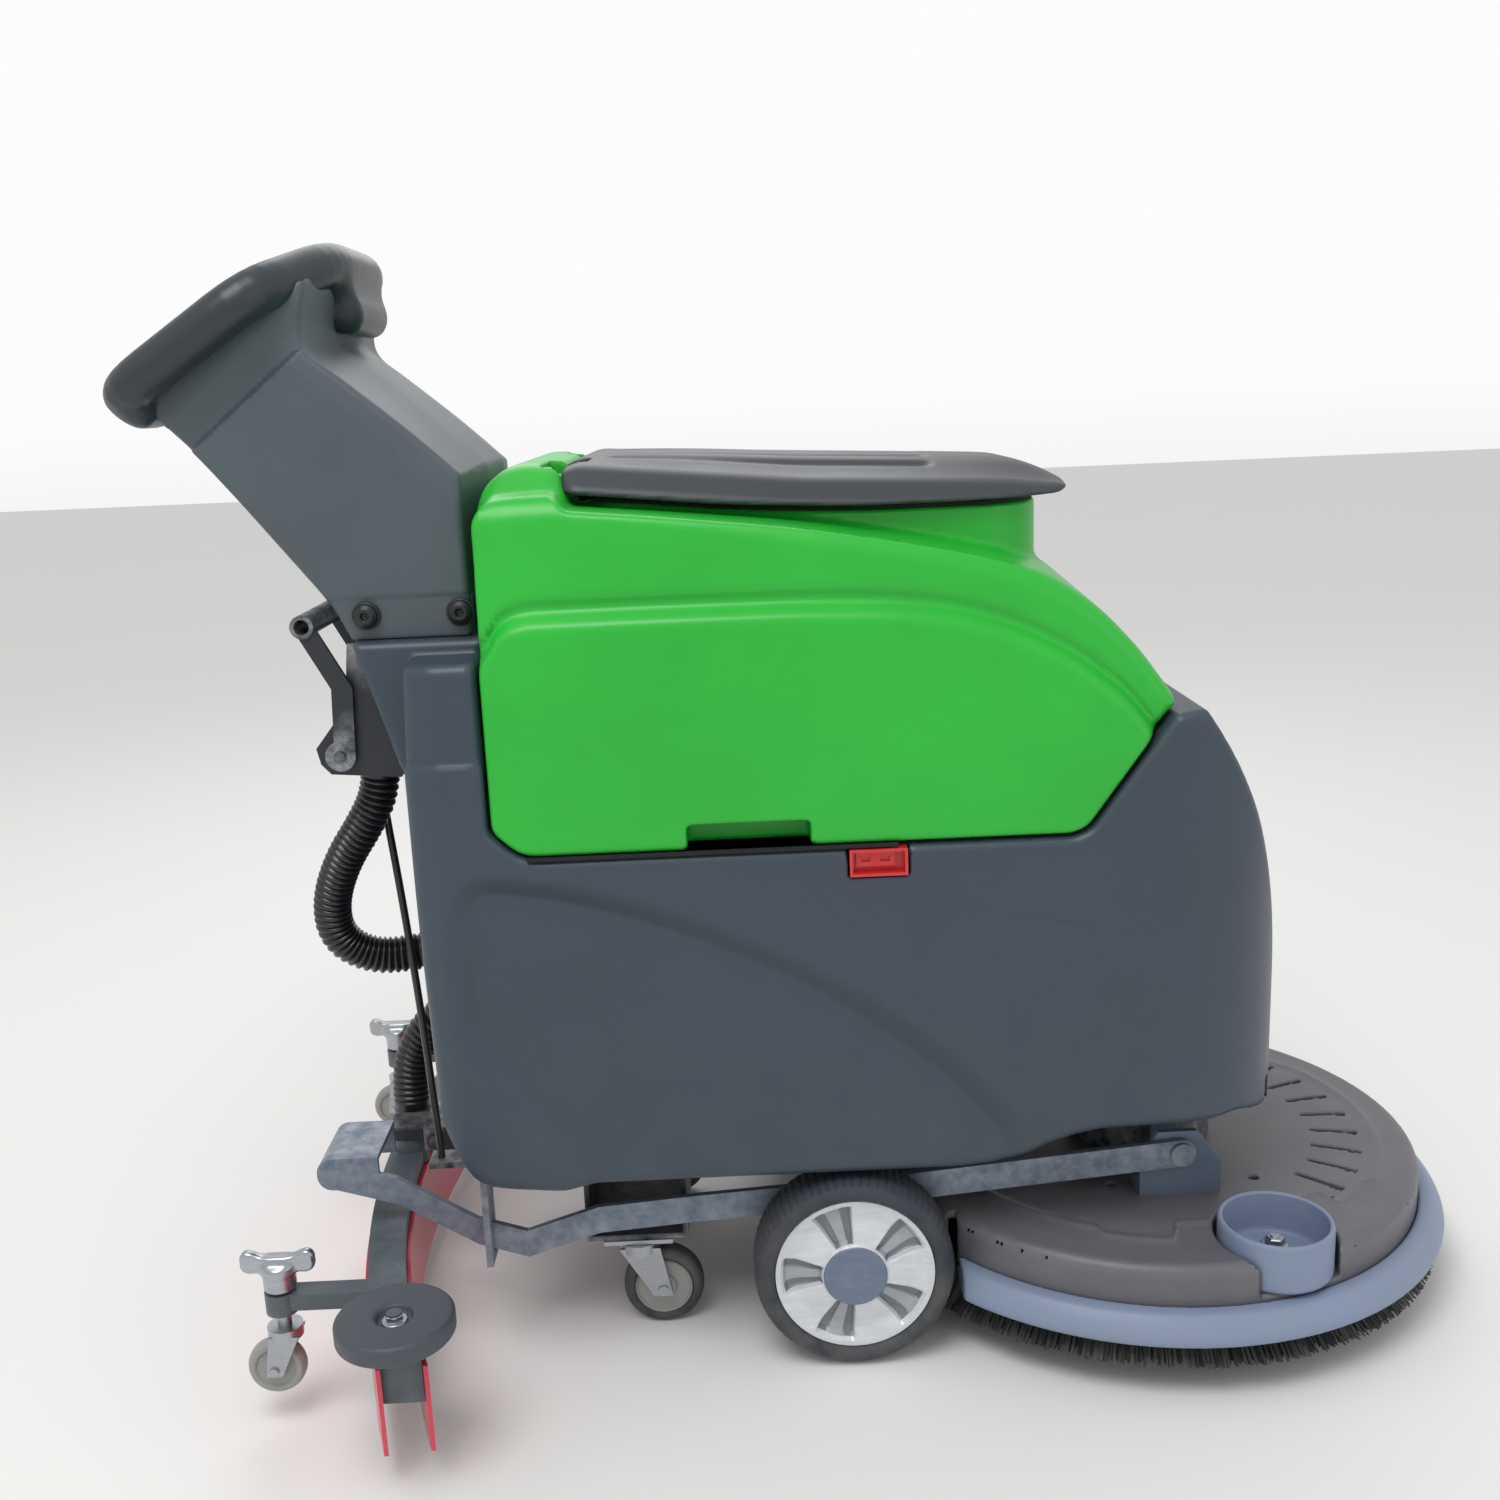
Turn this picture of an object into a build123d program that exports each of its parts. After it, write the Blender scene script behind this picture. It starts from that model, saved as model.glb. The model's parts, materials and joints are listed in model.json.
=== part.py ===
from build123d import *
import math
import os

os.makedirs("parts", exist_ok=True)

# Walk-behind floor scrubber. +X points to the brush deck, +Y to the machine's left, +Z up.
# x = 0 is the drive axle, z = 0 the floor. All sizes are in millimetres.

# ---- driving dimensions ----
tyre_r = 90.0            # drive tyre
tyre_w = 60.0
rim_r = 71.5
axle_r = 9.0
track = 370.0            # between the middles of the drive wheels
run_fit = 0.05           # radial clearance of a running fit
air = 0.4                # clearance between parts that only pass each other
body_half = 220.0        # half width of the body
body_floor = 186.0       # underside of the body
body_front = 396.0       # foremost point of the body
body_back = -360.0
body_wall = 8.0
seam_z = 488.0           # where the recovery tank rests on the body
column_half = 165.0      # half width of the rear column
column_top = 668.0
tank_half = 217.0
tank_wall = 6.0
tank_gap = 3.0           # open seam round the recovery tank
lid_half = 162.0
neck_half = 150.0        # half width of the handle column
neck_wall = 6.0
grip_r = 19.0            # handle tube
grip_tilt = 33.5         # slope of the handle and of the control panel, degrees
deck_x = 305.0           # middle of the brush deck
deck_r = 265.0           # upper housing of the deck
deck_top = 118.0
skirt_r = 290.0
brush_r = 235.0
brush_low = 30.0         # bristle tips, with the deck raised
caster_r = 38.0          # rear casters
caster_x = -197.0
caster_y = 120.0
squeegee_half = 340.0
squeegee_bend = 1013.0   # radius of the squeegee's curve, seen from above
squeegee_thick = 32.0
squeegee_low = 75.0
squeegee_top = 128.0
blade_t = 3.6
hose_r = 17.5            # drain hose
suction_r = 19.0
cable_r = 3.5
sheet = 6.0              # steel plate of arms and brackets

# ---- places that follow from them ----
wheel_y = track / 2
wheel_inner = wheel_y - tyre_w / 2
arm_y = wheel_inner - 7.0                 # middle of the flat lift arms
plate_y = arm_y - 15.0                    # middle of the chassis side plates
arm_pivot = (20.0, 138.0)                 # x, z
deck_bolt = (deck_x + 2, 162.0)
link_rise = 30.0                          # the upper link runs this much above the arms
tank_floor = seam_z + tank_gap
squeegee_mid = -435.0
squeegee_centre = squeegee_mid + squeegee_bend
frame_top = body_floor
frame_t = 6.0


def save(part, name):
    """Label a finished piece and write it."""
    part.label = name
    export_step(part, "parts/" + name + ".step")


def side_slab(points, half, middle=0.0):
    """A slab with the given side outline, x and z, 2 * half wide about y = middle."""
    with BuildPart() as slab:
        with BuildSketch(Plane.XZ.offset(-middle)):
            with BuildLine():
                Polyline(*points, close=True)
            make_face()
        extrude(amount=half, both=True)
    return slab.part


def plan_slab(x_low, x_high, half, low, high, front_r, rear_r):
    """An upright block with rounded corners, seen from above."""
    with BuildPart() as slab:
        with BuildSketch(Plane.XY.offset(low)):
            with Locations(((x_low + x_high) / 2, 0)):
                outline = Rectangle(x_high - x_low, 2 * half)
            fillet(outline.vertices().group_by(Axis.X)[-1], front_r)
            fillet(outline.vertices().group_by(Axis.X)[0], rear_r)
        extrude(amount=high - low)
    return slab.part


def hollow_slab(points, half, front, corner_r):
    """The inside of a shell: a side outline, rounded at the front as the outside is."""
    with BuildPart() as slab:
        add(side_slab(points, half))
        add(plan_slab(body_back, front, half, 150, 850, corner_r, 6), mode=Mode.INTERSECT)
    return slab.part


def y_rod(x, z, radius, y_low, y_high):
    """A round bar across the machine."""
    with BuildPart() as rod:
        with BuildSketch(Plane.XZ.offset(-y_low)):
            with Locations((x, z)):
                Circle(radius)
        extrude(amount=-(y_high - y_low))
    return rod.part


def z_rod(x, y, radius, low, high):
    """An upright round bar."""
    with BuildPart() as rod:
        with BuildSketch(Plane.XY.offset(low)):
            with Locations((x, y)):
                Circle(radius)
        extrude(amount=high - low)
    return rod.part


def block(x_low, x_high, y_low, y_high, z_low, z_high):
    """A plain box given by its corners."""
    with BuildPart() as solid:
        with BuildSketch(Plane.XY.offset(z_low)):
            with Locations(((x_low + x_high) / 2, (y_low + y_high) / 2)):
                Rectangle(x_high - x_low, y_high - y_low)
        extrude(amount=z_high - z_low)
    return solid.part


# ---- body: solution tank in front, battery bay behind it, column at the rear ----
bay_front = 45.0
tank_back = -290.0                        # rear wall of the recovery tank
column_front = tank_back - tank_gap
seam_nose = (body_front - 96, seam_z + 104)
body_side = [
    (-325, body_floor + 8), (-262, body_floor), (100, body_floor), (136, body_floor + 4),
    (170, 211), (205, 222), (340, 226), (body_front - 4, 206), (body_front, 304),
    (body_front - 6, 362), (body_front - 19, 428), (body_front - 39, 493), (body_front - 67, 548),
    seam_nose, (275, seam_z + 100), (206, seam_z + 6), (191, seam_z), (-267, seam_z),
    (column_front, seam_z + 25), (column_front, 655), (-355, 655), (body_back, 566),
    (body_back, 433), (-357, 316), (-355, 251), (-346, 227),
]
column_side = [(-359, 545), (-372, 560), (-403, column_top), (column_front, column_top),
               (column_front, 545)]
bay_floor = body_floor + 14
bay_back = column_front + 14
tank_cavity = [
    (bay_front + body_wall, 250), (body_front - 14, 250), (body_front - 14, 340),
    (body_front - 27, 428),
    (body_front - 47, 488), (body_front - 76, 545), (body_front - 100, 580), (283, 580),
    (212, seam_z - 8), (bay_front + body_wall, seam_z - 8),
]
well_half = arm_y + 20
drain_port = (-38.0, 357.0)               # y, z in the rear wall
suction_port = (42.0, 262.0)
socket_x = (4.0, 53.0)
socket_z = (463.0, 487.0)
socket_depth = 15.0
neck_stub = 37.0                          # upstand that the handle column slips over

with BuildPart() as body_shell:
    add(side_slab(body_side, body_half))
    add(plan_slab(body_back, body_front, body_half, 150, 700, 120, 14), mode=Mode.INTERSECT)
    add(side_slab(column_side, column_half))
    add(block(-399, -300, -neck_half + neck_wall + air, neck_half - neck_wall - air,
              column_top, column_top + neck_stub))
    add(block(bay_back, bay_front, -body_half + body_wall, body_half - body_wall,
              bay_floor, seam_z + 40), mode=Mode.SUBTRACT)
    add(block(body_back + 11, column_front - 8, -column_half + 15, column_half - 15,
              body_floor + 19, column_top - 13), mode=Mode.SUBTRACT)
    add(block(body_back + 15, column_front - 17, -110, 110, column_top - 20,
              column_top + neck_stub + 1), mode=Mode.SUBTRACT)
    add(block(column_front - 9, bay_back + 1, -100, 100, 230, 460), mode=Mode.SUBTRACT)
    add(hollow_slab(tank_cavity, body_half - body_wall - 4, body_front - body_wall, 112),
        mode=Mode.SUBTRACT)
    add(z_rod(120, 0, 32, seam_z - 12, seam_z + 2), mode=Mode.SUBTRACT)
    add(z_rod(deck_x, 0, 76 + body_wall, 245, 324 + body_wall))
    add(block(10, body_front - 14, -well_half, well_half, 150, 240), mode=Mode.SUBTRACT)
    add(z_rod(deck_x, 0, 76, 230, 324), mode=Mode.SUBTRACT)
    add(block(socket_x[0], socket_x[1], -body_half - 2, -body_half + socket_depth,
              socket_z[0], socket_z[1]), mode=Mode.SUBTRACT)
    for port, port_r in ((drain_port, hose_r), (suction_port, suction_r)):
        with BuildSketch(Plane.YZ.offset(body_back - 5)):
            with Locations(port):
                Circle(port_r - 3)
        extrude(amount=25, mode=Mode.SUBTRACT)
save(body_shell.part, "body_shell")

# strip of foam on the rim of the battery bay
with BuildPart() as seam_gasket:
    add(block(-262, 188, -body_half + 1.5, body_half - 1.5, seam_z, seam_z + 2.5))
    add(block(-257, 183, -body_half + 6.5, body_half - 6.5, seam_z, seam_z + 2.5), mode=Mode.SUBTRACT)
    add(block(bay_front, 190, -body_half, body_half, seam_z, seam_z + 2.5), mode=Mode.SUBTRACT)
save(seam_gasket.part, "seam_gasket")

# ---- batteries in the bay, two blocks side by side, each with two posts ----
battery_l = 158.0
battery_w = 330.0
battery_h = 212.0
with BuildPart() as batteries:
    for middle in (bay_back + 2 + battery_l / 2, bay_front - 2 - battery_l / 2):
        with BuildSketch(Plane.XY.offset(bay_floor)):
            with Locations((middle, 0)):
                RectangleRounded(battery_l, battery_w, 6)
        extrude(amount=battery_h)
        with BuildSketch(Plane.XY.offset(bay_floor + battery_h)):
            with Locations((middle, -battery_w / 2 + 35), (middle, battery_w / 2 - 35)):
                Circle(8)
        extrude(amount=18)
save(batteries.part, "batteries")

# ---- charging socket in the near wall ----
with BuildPart() as charging_socket:
    add(block(socket_x[0] + air, socket_x[1] - air, -body_half, -body_half + socket_depth,
              socket_z[0] + air, socket_z[1] - air))
    add(block(socket_x[0] + 3, socket_x[1] - 3, -body_half - 1, -body_half + 9,
              socket_z[0] + 3, socket_z[1] - 3), mode=Mode.SUBTRACT)
    add(block(10, 42, -body_half + 5, -body_half + 10, socket_z[0] + 8, socket_z[1] - 3.5))
    for pin_x in (18.0, 34.0):
        add(block(pin_x - 4, pin_x + 4, -body_half, -body_half + 7, socket_z[0] + 12,
                  socket_z[0] + 16), mode=Mode.SUBTRACT)
save(charging_socket.part, "charging_socket")

# ---- chassis: floor plate, side plates for the axle, cross box for the casters ----
caster_plate_z = 90.0
link_y = 92.0
squeegee_pivot = (-300.0, 150.0)
cable_end = (-384.0, -84.0, 158.0)
guide_x = -331.0
side_plate = [(-45, frame_top - 2), (48, frame_top - 2), (34, 118), (22, 72), (-22, 72)]
with BuildPart() as chassis_frame:
    add(block(-320, 34, -plate_y - 3, plate_y + 3, frame_top - frame_t, frame_top))
    for side in (-1, 1):
        add(side_slab(side_plate, sheet / 2, side * plate_y))
        add(side_slab([(-318, frame_top - 1), (-282, frame_top - 1), (-288, 138), (-312, 138)],
                      sheet / 2, side * 39))
    add(block(-245, -150, -plate_y, plate_y, caster_plate_z, frame_top - 3))
    add(block(-240, -155, -plate_y - 1, plate_y + 1, caster_plate_z + 5, frame_top - frame_t),
        mode=Mode.SUBTRACT)
    add(side_slab([(6, frame_top - 2), (34, frame_top - 2), (30, 158), (10, 158)],
                  sheet / 2, -link_y + sheet + air))
    add(y_rod(arm_pivot[0], arm_pivot[1] + link_rise, 5, -link_y - 4, -link_y + sheet))
    add(block(-325, -316, -96, -70, 152, frame_top))
    add(block(-394, -316, -96, -70, 152, cable_end[2]))
    add(block(guide_x - 6, -300, -arm_y - 18, -plate_y + 4, frame_top - frame_t, frame_top))
    add(y_rod(0, tyre_r, axle_r, -track, track), mode=Mode.SUBTRACT)
    add(y_rod(arm_pivot[0], arm_pivot[1], 11 + run_fit, -track, track), mode=Mode.SUBTRACT)
    add(y_rod(squeegee_pivot[0], squeegee_pivot[1], 6 + run_fit, -60, 60), mode=Mode.SUBTRACT)
save(chassis_frame.part, "chassis_frame")

# upright plate with a slot that the pedal arm slides in
with BuildPart() as guide_plate:
    add(block(guide_x - 3, guide_x + 3, -arm_y - 18, -arm_y + 12, 88, frame_top - frame_t))
    add(block(guide_x - 4, guide_x + 4, -arm_y - 6, -arm_y + 6, 94, 172), mode=Mode.SUBTRACT)
save(guide_plate.part, "guide_plate")

save(y_rod(0, tyre_r, axle_r, -wheel_y - 26, wheel_y + 26), "axle")

# ---- drive wheels: a spoked rim in a solid tyre ----
rim_w = tyre_w - 12
for side, name in ((-1, "right"), (1, "left")):
    with BuildPart() as tyre:
        with BuildSketch(Plane.XY.offset(tyre_r)):
            with Locations(((tyre_r + rim_r + 0.1) / 2, side * wheel_y)):
                section = Rectangle(tyre_r - rim_r - 0.1, tyre_w)
            fillet(section.vertices().group_by(Axis.X)[-1], 9)
        revolve(axis=Axis((0, 0, tyre_r), (0, 1, 0)))
    save(tyre.part, "tyre_" + name)
    with BuildPart() as rim:
        add(y_rod(0, tyre_r, rim_r, side * wheel_y - rim_w / 2, side * wheel_y + rim_w / 2))
        outer = side * (wheel_y + rim_w / 2)
        with BuildSketch(Plane((0, outer, tyre_r), x_dir=(1, 0, 0), z_dir=(0, side, 0))):
            Circle(rim_r - 6)
            Circle(28.5, mode=Mode.SUBTRACT)
        extrude(amount=-9, mode=Mode.SUBTRACT)
        with BuildSketch(Plane((0, outer, tyre_r), x_dir=(1, 0, 0), z_dir=(0, side, 0))):
            with PolarLocations(0, 5, start_angle=36):
                with Locations((47, 0)):
                    Rectangle(38, 26)
            Circle(rim_r - 5, mode=Mode.INTERSECT)
        extrude(amount=-11)
        with BuildSketch(Plane((0, -outer + side * 2 * wheel_y, tyre_r), x_dir=(1, 0, 0),
                               z_dir=(0, -side, 0))):
            Circle(rim_r - 6)
            Circle(22, mode=Mode.SUBTRACT)
        extrude(amount=-24, mode=Mode.SUBTRACT)
        add(y_rod(0, tyre_r, axle_r + run_fit, -track, track), mode=Mode.SUBTRACT)
    save(rim.part, "rim_" + name)

# ---- rear casters ----
fork_top = caster_plate_z - 8
with BuildPart() as caster_plates:
    for side in (-1, 1):
        add(block(caster_x - 32, caster_x + 32, side * caster_y - 16, side * caster_y + 16,
                  caster_plate_z - 4, caster_plate_z))
        add(z_rod(caster_x, side * caster_y, 6, fork_top - 8, caster_plate_z - 2))
save(caster_plates.part, "caster_plates")

caster_trail = 21.0
for side, name in ((-1, "right"), (1, "left")):
    middle = side * caster_y
    axle_x = caster_x + caster_trail
    with BuildPart() as fork:
        add(z_rod(caster_x, middle, 21, fork_top - 6, fork_top + 4 - air))
        for leg in (-1, 1):
            add(side_slab([(caster_x - 18, fork_top), (caster_x + 20, fork_top),
                           (axle_x + 9, caster_r - 6), (axle_x - 9, caster_r - 6)],
                          1.5, middle + leg * 15.5))
        add(y_rod(axle_x, caster_r, 5, middle - 19, middle + 19))
        add(z_rod(caster_x, middle, 6 + run_fit, fork_top - 20, fork_top + 10), mode=Mode.SUBTRACT)
        add(z_rod(caster_x, middle, 12, fork_top - 12, fork_top - 6 - 0.01), mode=Mode.SUBTRACT)
        add(y_rod(axle_x, caster_r, caster_r + 3, middle - 13.6, middle + 13.6), mode=Mode.SUBTRACT)
        add(y_rod(axle_x, caster_r, 5, middle - 19, middle + 19))
    save(fork.part, "caster_fork_" + name)
    with BuildPart() as caster_wheel:
        add(y_rod(axle_x, caster_r, caster_r, middle - 12, middle + 12))
        fillet(caster_wheel.edges().filter_by(GeomType.CIRCLE), 5)
        add(y_rod(axle_x, caster_r, 5 + run_fit, middle - 20, middle + 20), mode=Mode.SUBTRACT)
    save(caster_wheel.part, "caster_wheel_" + name)

# ---- pedal and lift arms: flat bars that hang the deck, welded to a cross tube ----
bar_half = 13.0
pedal_path = [(-470, 178), (-412, 160), (-342, 116), (-297, 101), (-230, 122), (-137, 129),
              arm_pivot, deck_bolt]
bar_outline = [(x, z + bar_half) for x, z in pedal_path]
bar_outline += [(x, z - bar_half) for x, z in reversed(pedal_path)]
far_outline = [(arm_pivot[0] - 16, arm_pivot[1] + bar_half), (deck_bolt[0], deck_bolt[1] + bar_half),
               (deck_bolt[0], deck_bolt[1] - bar_half), (arm_pivot[0] - 16, arm_pivot[1] - bar_half)]
pedal_low = 164.0
pedal_high = 195.0
pedal_x = (-484.0, -428.0)
with BuildPart() as pedal_arm:
    add(side_slab(bar_outline, sheet / 2, -arm_y))
    add(y_rod(deck_bolt[0], deck_bolt[1], bar_half, -arm_y - sheet / 2, -arm_y + sheet / 2))
    add(side_slab(far_outline, sheet / 2, arm_y))
    add(y_rod(deck_bolt[0], deck_bolt[1], bar_half, arm_y - sheet / 2, arm_y + sheet / 2))
    add(y_rod(arm_pivot[0], arm_pivot[1], 11, -arm_y - sheet / 2, arm_y + sheet / 2))
    with BuildSketch(Plane.XZ.offset(arm_y + sheet / 2)):
        with Locations(((pedal_x[0] + pedal_x[1]) / 2, (pedal_low + pedal_high) / 2)):
            pad = Rectangle(pedal_x[1] - pedal_x[0], pedal_high - pedal_low)
        fillet(pad.vertices().group_by(Axis.X)[0], 14)
    extrude(amount=-74)
    add(block(pedal_x[0] + 5, pedal_x[1] + 1, -arm_y + sheet / 2, -arm_y + 66,
              pedal_low - 1, pedal_high - 5), mode=Mode.SUBTRACT)
    for side in (-1, 1):
        add(y_rod(deck_bolt[0], deck_bolt[1], 6 + run_fit, side * arm_y - 5, side * arm_y + 5),
            mode=Mode.SUBTRACT)
save(pedal_arm.part, "pedal_arm")

# ---- upper link: with the arms it keeps the deck level ----
link_ends = [(arm_pivot[0], arm_pivot[1] + link_rise), (deck_bolt[0], deck_bolt[1] + link_rise)]
link_half = 8.0
with BuildPart() as upper_link:
    add(side_slab([(link_ends[0][0], link_ends[0][1] + link_half),
                   (link_ends[1][0], link_ends[1][1] + link_half),
                   (link_ends[1][0], link_ends[1][1] - link_half),
                   (link_ends[0][0], link_ends[0][1] - link_half)], sheet / 2, -link_y))
    for end_x, end_z in link_ends:
        add(y_rod(end_x, end_z, link_half, -link_y - sheet / 2, -link_y + sheet / 2))
    add(y_rod(link_ends[0][0], link_ends[0][1], 5 + run_fit, -link_y - 9, -link_y + 9),
        mode=Mode.SUBTRACT)
    add(y_rod(link_ends[1][0], link_ends[1][1], 5 + air, -link_y - 9, -link_y + 9),
        mode=Mode.SUBTRACT)
save(upper_link.part, "upper_link")

# ---- brush deck ----
def wheel_room(side):
    """The space that the deck leaves free round a drive wheel."""
    near = side * (wheel_inner - 5)
    far = side * (wheel_y + tyre_w)
    return block(0, tyre_r + 8, min(near, far), max(near, far), 0, deck_top + 20)


deck_wall = 5.0
skirt_low = 51.0
skirt_top = 80.0
cup_place = (deck_x + 67, -215.0)
cup_r = 50.0
cup_low = 84.0
cup_top = 130.0
hole_places = ((deck_x - 56, -121.0), (deck_x + 79, -121.0))
with BuildPart() as deck_housing:
    add(z_rod(deck_x, 0, deck_r, skirt_top - 12, deck_top))
    fillet(deck_housing.edges().filter_by(GeomType.CIRCLE).group_by(Axis.Z)[-1], 8)
    add(z_rod(deck_x, 0, deck_r - deck_wall, skirt_top - 13, deck_top - deck_wall),
        mode=Mode.SUBTRACT)
    add(z_rod(cup_place[0], cup_place[1], cup_r + 8, cup_low - 4, deck_top - 1))
    add(z_rod(deck_x, 0, deck_r, cup_low - 4, deck_top), mode=Mode.INTERSECT)
    add(z_rod(cup_place[0], cup_place[1], cup_r + 3, cup_low, deck_top + 20), mode=Mode.SUBTRACT)
    with BuildSketch(Plane.XY.offset(skirt_top - 12)):
        with Locations((deck_x, 0)):
            Circle(deck_r)
            Circle(deck_r - deck_wall, mode=Mode.SUBTRACT)
    extrude(amount=cup_low - skirt_top + 9)
    add(z_rod(cup_place[0], cup_place[1], 6, cup_low - 2, cup_low + 24))
    with BuildSketch(Plane.XY.offset(deck_top - deck_wall - 1)):
        with Locations((deck_x, 0)):
            Circle(14)
            for slot in range(9):
                angle = math.radians(-44 + 11 * slot)
                with Locations((190 * math.cos(angle), 190 * math.sin(angle))):
                    SlotOverall(46, 6, rotation=math.degrees(angle))
        with Locations(*hole_places):
            Circle(4.5)
    extrude(amount=deck_wall + 3, mode=Mode.SUBTRACT)
    for side in (-1, 1):
        add(wheel_room(side), mode=Mode.SUBTRACT)
save(deck_housing.part, "deck_housing")

with BuildPart() as deck_skirt:
    with BuildSketch(Plane.XZ):
        with Locations(((deck_r + 0.3 + skirt_r) / 2 + deck_x, (skirt_low + skirt_top) / 2)):
            ring = Rectangle(skirt_r - deck_r - 0.3, skirt_top - skirt_low)
        fillet(ring.vertices().group_by(Axis.X)[-1], 12)
    revolve(axis=Axis((deck_x, 0, 0), (0, 0, 1)))
    with BuildSketch(Plane.XY.offset(skirt_low)):
        with Locations((deck_x, 0)):
            Circle(deck_r + 4)
            Circle(deck_r - deck_wall, mode=Mode.SUBTRACT)
    extrude(amount=skirt_top - 12 - skirt_low)
    for side in (-1, 1):
        add(wheel_room(side), mode=Mode.SUBTRACT)
save(deck_skirt.part, "deck_skirt")

ear_y = arm_y - sheet - air
with BuildPart() as deck_brackets:
    for side in (-1, 1):
        add(side_slab([(270, deck_top), (345, deck_top), (345, 150), (322, 181), (286, 181),
                       (270, 150)], sheet / 2, side * ear_y))
        add(block(270, 345, side * ear_y - 15 + side * -12, side * ear_y + 15 + side * -12,
                  deck_top, deck_top + 5))
        add(y_rod(deck_bolt[0], deck_bolt[1], 6, min(side * ear_y, side * (arm_y + 7)),
                  max(side * ear_y, side * (arm_y + 7))))
        add(y_rod(deck_bolt[0], deck_bolt[1], 11, min(side * (arm_y + 3.5), side * (arm_y + 7)),
                  max(side * (arm_y + 3.5), side * (arm_y + 7))))
    add(side_slab([(292, deck_top), (322, deck_top), (316, 201), (298, 201)], sheet / 2,
                  -link_y + sheet + air))
    add(y_rod(link_ends[1][0], link_ends[1][1], 5, -link_y - 4, -link_y + sheet))
save(deck_brackets.part, "deck_brackets")

motor_r = 62.0
with BuildPart() as brush_motor:
    add(z_rod(deck_x, 0, 70, deck_top, deck_top + 36))
    add(z_rod(deck_x, 0, motor_r, deck_top + 30, 300))
    fillet(brush_motor.edges().filter_by(GeomType.CIRCLE).group_by(Axis.Z)[-1], 10)
    add(z_rod(deck_x, 0, 9 + run_fit, deck_top - 5, deck_top + 26), mode=Mode.SUBTRACT)
save(brush_motor.part, "brush_motor")

plate_low = 62.0
with BuildPart() as brush_plate:
    add(z_rod(deck_x, 0, brush_r, plate_low, plate_low + 14))
    add(z_rod(deck_x, 0, 9, plate_low, deck_top + 24))
save(brush_plate.part, "brush_plate")

with BuildPart() as bristles:
    with BuildSketch(Plane.XZ):
        with BuildLine():
            Polyline((deck_x + 120, plate_low), (deck_x + brush_r + 14, plate_low),
                     (deck_x + brush_r + 22, 46), (deck_x + brush_r + 49, brush_low),
                     (deck_x + 112, brush_low), close=True)
        make_face()
    revolve(axis=Axis((deck_x, 0, 0), (0, 0, 1)))
save(bristles.part, "bristles")

with BuildPart() as bumper_cup:
    add(z_rod(cup_place[0], cup_place[1], cup_r, cup_low + air, cup_top))
    fillet(bumper_cup.edges().filter_by(GeomType.CIRCLE), 3)
    add(z_rod(cup_place[0], cup_place[1], cup_r - 5, cup_low + 8, cup_top + 1), mode=Mode.SUBTRACT)
    add(z_rod(cup_place[0], cup_place[1], 12, cup_low + 6, cup_low + 20))
    add(z_rod(cup_place[0], cup_place[1], 6 + run_fit, cup_low - 2, cup_top), mode=Mode.SUBTRACT)
save(bumper_cup.part, "bumper_cup")

# ---- recovery tank, which tips up about its far lower edge ----
tank_side = [
    (tank_back, tank_floor + 22), (-266, tank_floor), (192, tank_floor), (204, tank_floor + 6),
    (272, seam_z + 100 + tank_gap), (seam_nose[0] - 1, seam_nose[1] + tank_gap),
    (285, 620), (248, 660), (214, 692), (190, 712), (134, 722), (53, 740), (-27, 752),
    (-246, 772), (-246, 808), (-268, 808), (-286, 784), (tank_back, 766),
]
tank_inside = [
    (tank_back + 6, tank_floor + 24), (-264, tank_floor + 6), (189, tank_floor + 6),
    (198, tank_floor + 11), (266, 600), (290, 604), (280, 616), (243, 655), (210, 686),
    (187, 705), (132, 715), (52, 733), (-28, 745), (-252, 765), (tank_back + 6, 765),
]
collar_x = (-200.0, 183.0)
collar_half = 140.0
rim_line = [(-210, 776), (-155, 771), (-90, 764), (17, 758.5), (140, 758.5), (195, 761)]
rim_deep = 60.0
rim_seal = 3.0
lid_gap = 4.5            # between the rim and the lid, with the seal in it
hinge = (-222.0, 790.0)


def rim_band(low, high):
    """Side outline of a band that follows the rim, between two heights above it."""
    return [(x, z + low) for x, z in rim_line] + [(x, z + high) for x, z in reversed(rim_line)]


with BuildPart() as collar:
    add(plan_slab(collar_x[0], collar_x[1], collar_half, 690, 800, 60, 30))
    add(side_slab(rim_band(-rim_deep, 0), collar_half + 1), mode=Mode.INTERSECT)
with BuildPart() as recovery_tank:
    add(side_slab(tank_side, tank_half))
    add(plan_slab(tank_back, body_front, tank_half, 450, 850, 118, 12), mode=Mode.INTERSECT)
    add(collar.part)
    add(hollow_slab(tank_inside, tank_half - tank_wall, body_front - tank_wall, 112),
        mode=Mode.SUBTRACT)
    add(plan_slab(collar_x[0] + 12, collar_x[1] - 12, collar_half - 12, 690, 800, 50, 22),
        mode=Mode.SUBTRACT)
    for side in (-1, 1):
        add(block(-236, -212, side * 106 - 7, side * 106 + 7, 765, 797))
        add(y_rod(hinge[0], hinge[1], 3, side * 106 - 15, side * 106 + 15), mode=Mode.SUBTRACT)
    add(block(-129, -27, -tank_half - 2, -tank_half + 30, tank_floor - 1, tank_floor + 22),
        mode=Mode.SUBTRACT)
    add(block(-135, -21, -tank_half, -tank_half + 36, tank_floor, tank_floor + 28))
    add(block(-129, -27, -tank_half - 2, -tank_half + 30, tank_floor - 1, tank_floor + 22),
        mode=Mode.SUBTRACT)
save(recovery_tank.part, "recovery_tank")

with BuildPart() as lid_pins:
    for side in (-1, 1):
        add(y_rod(hinge[0], hinge[1], 3, side * 106 - 15, side * 106 + 15))
save(lid_pins.part, "lid_pins")

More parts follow.
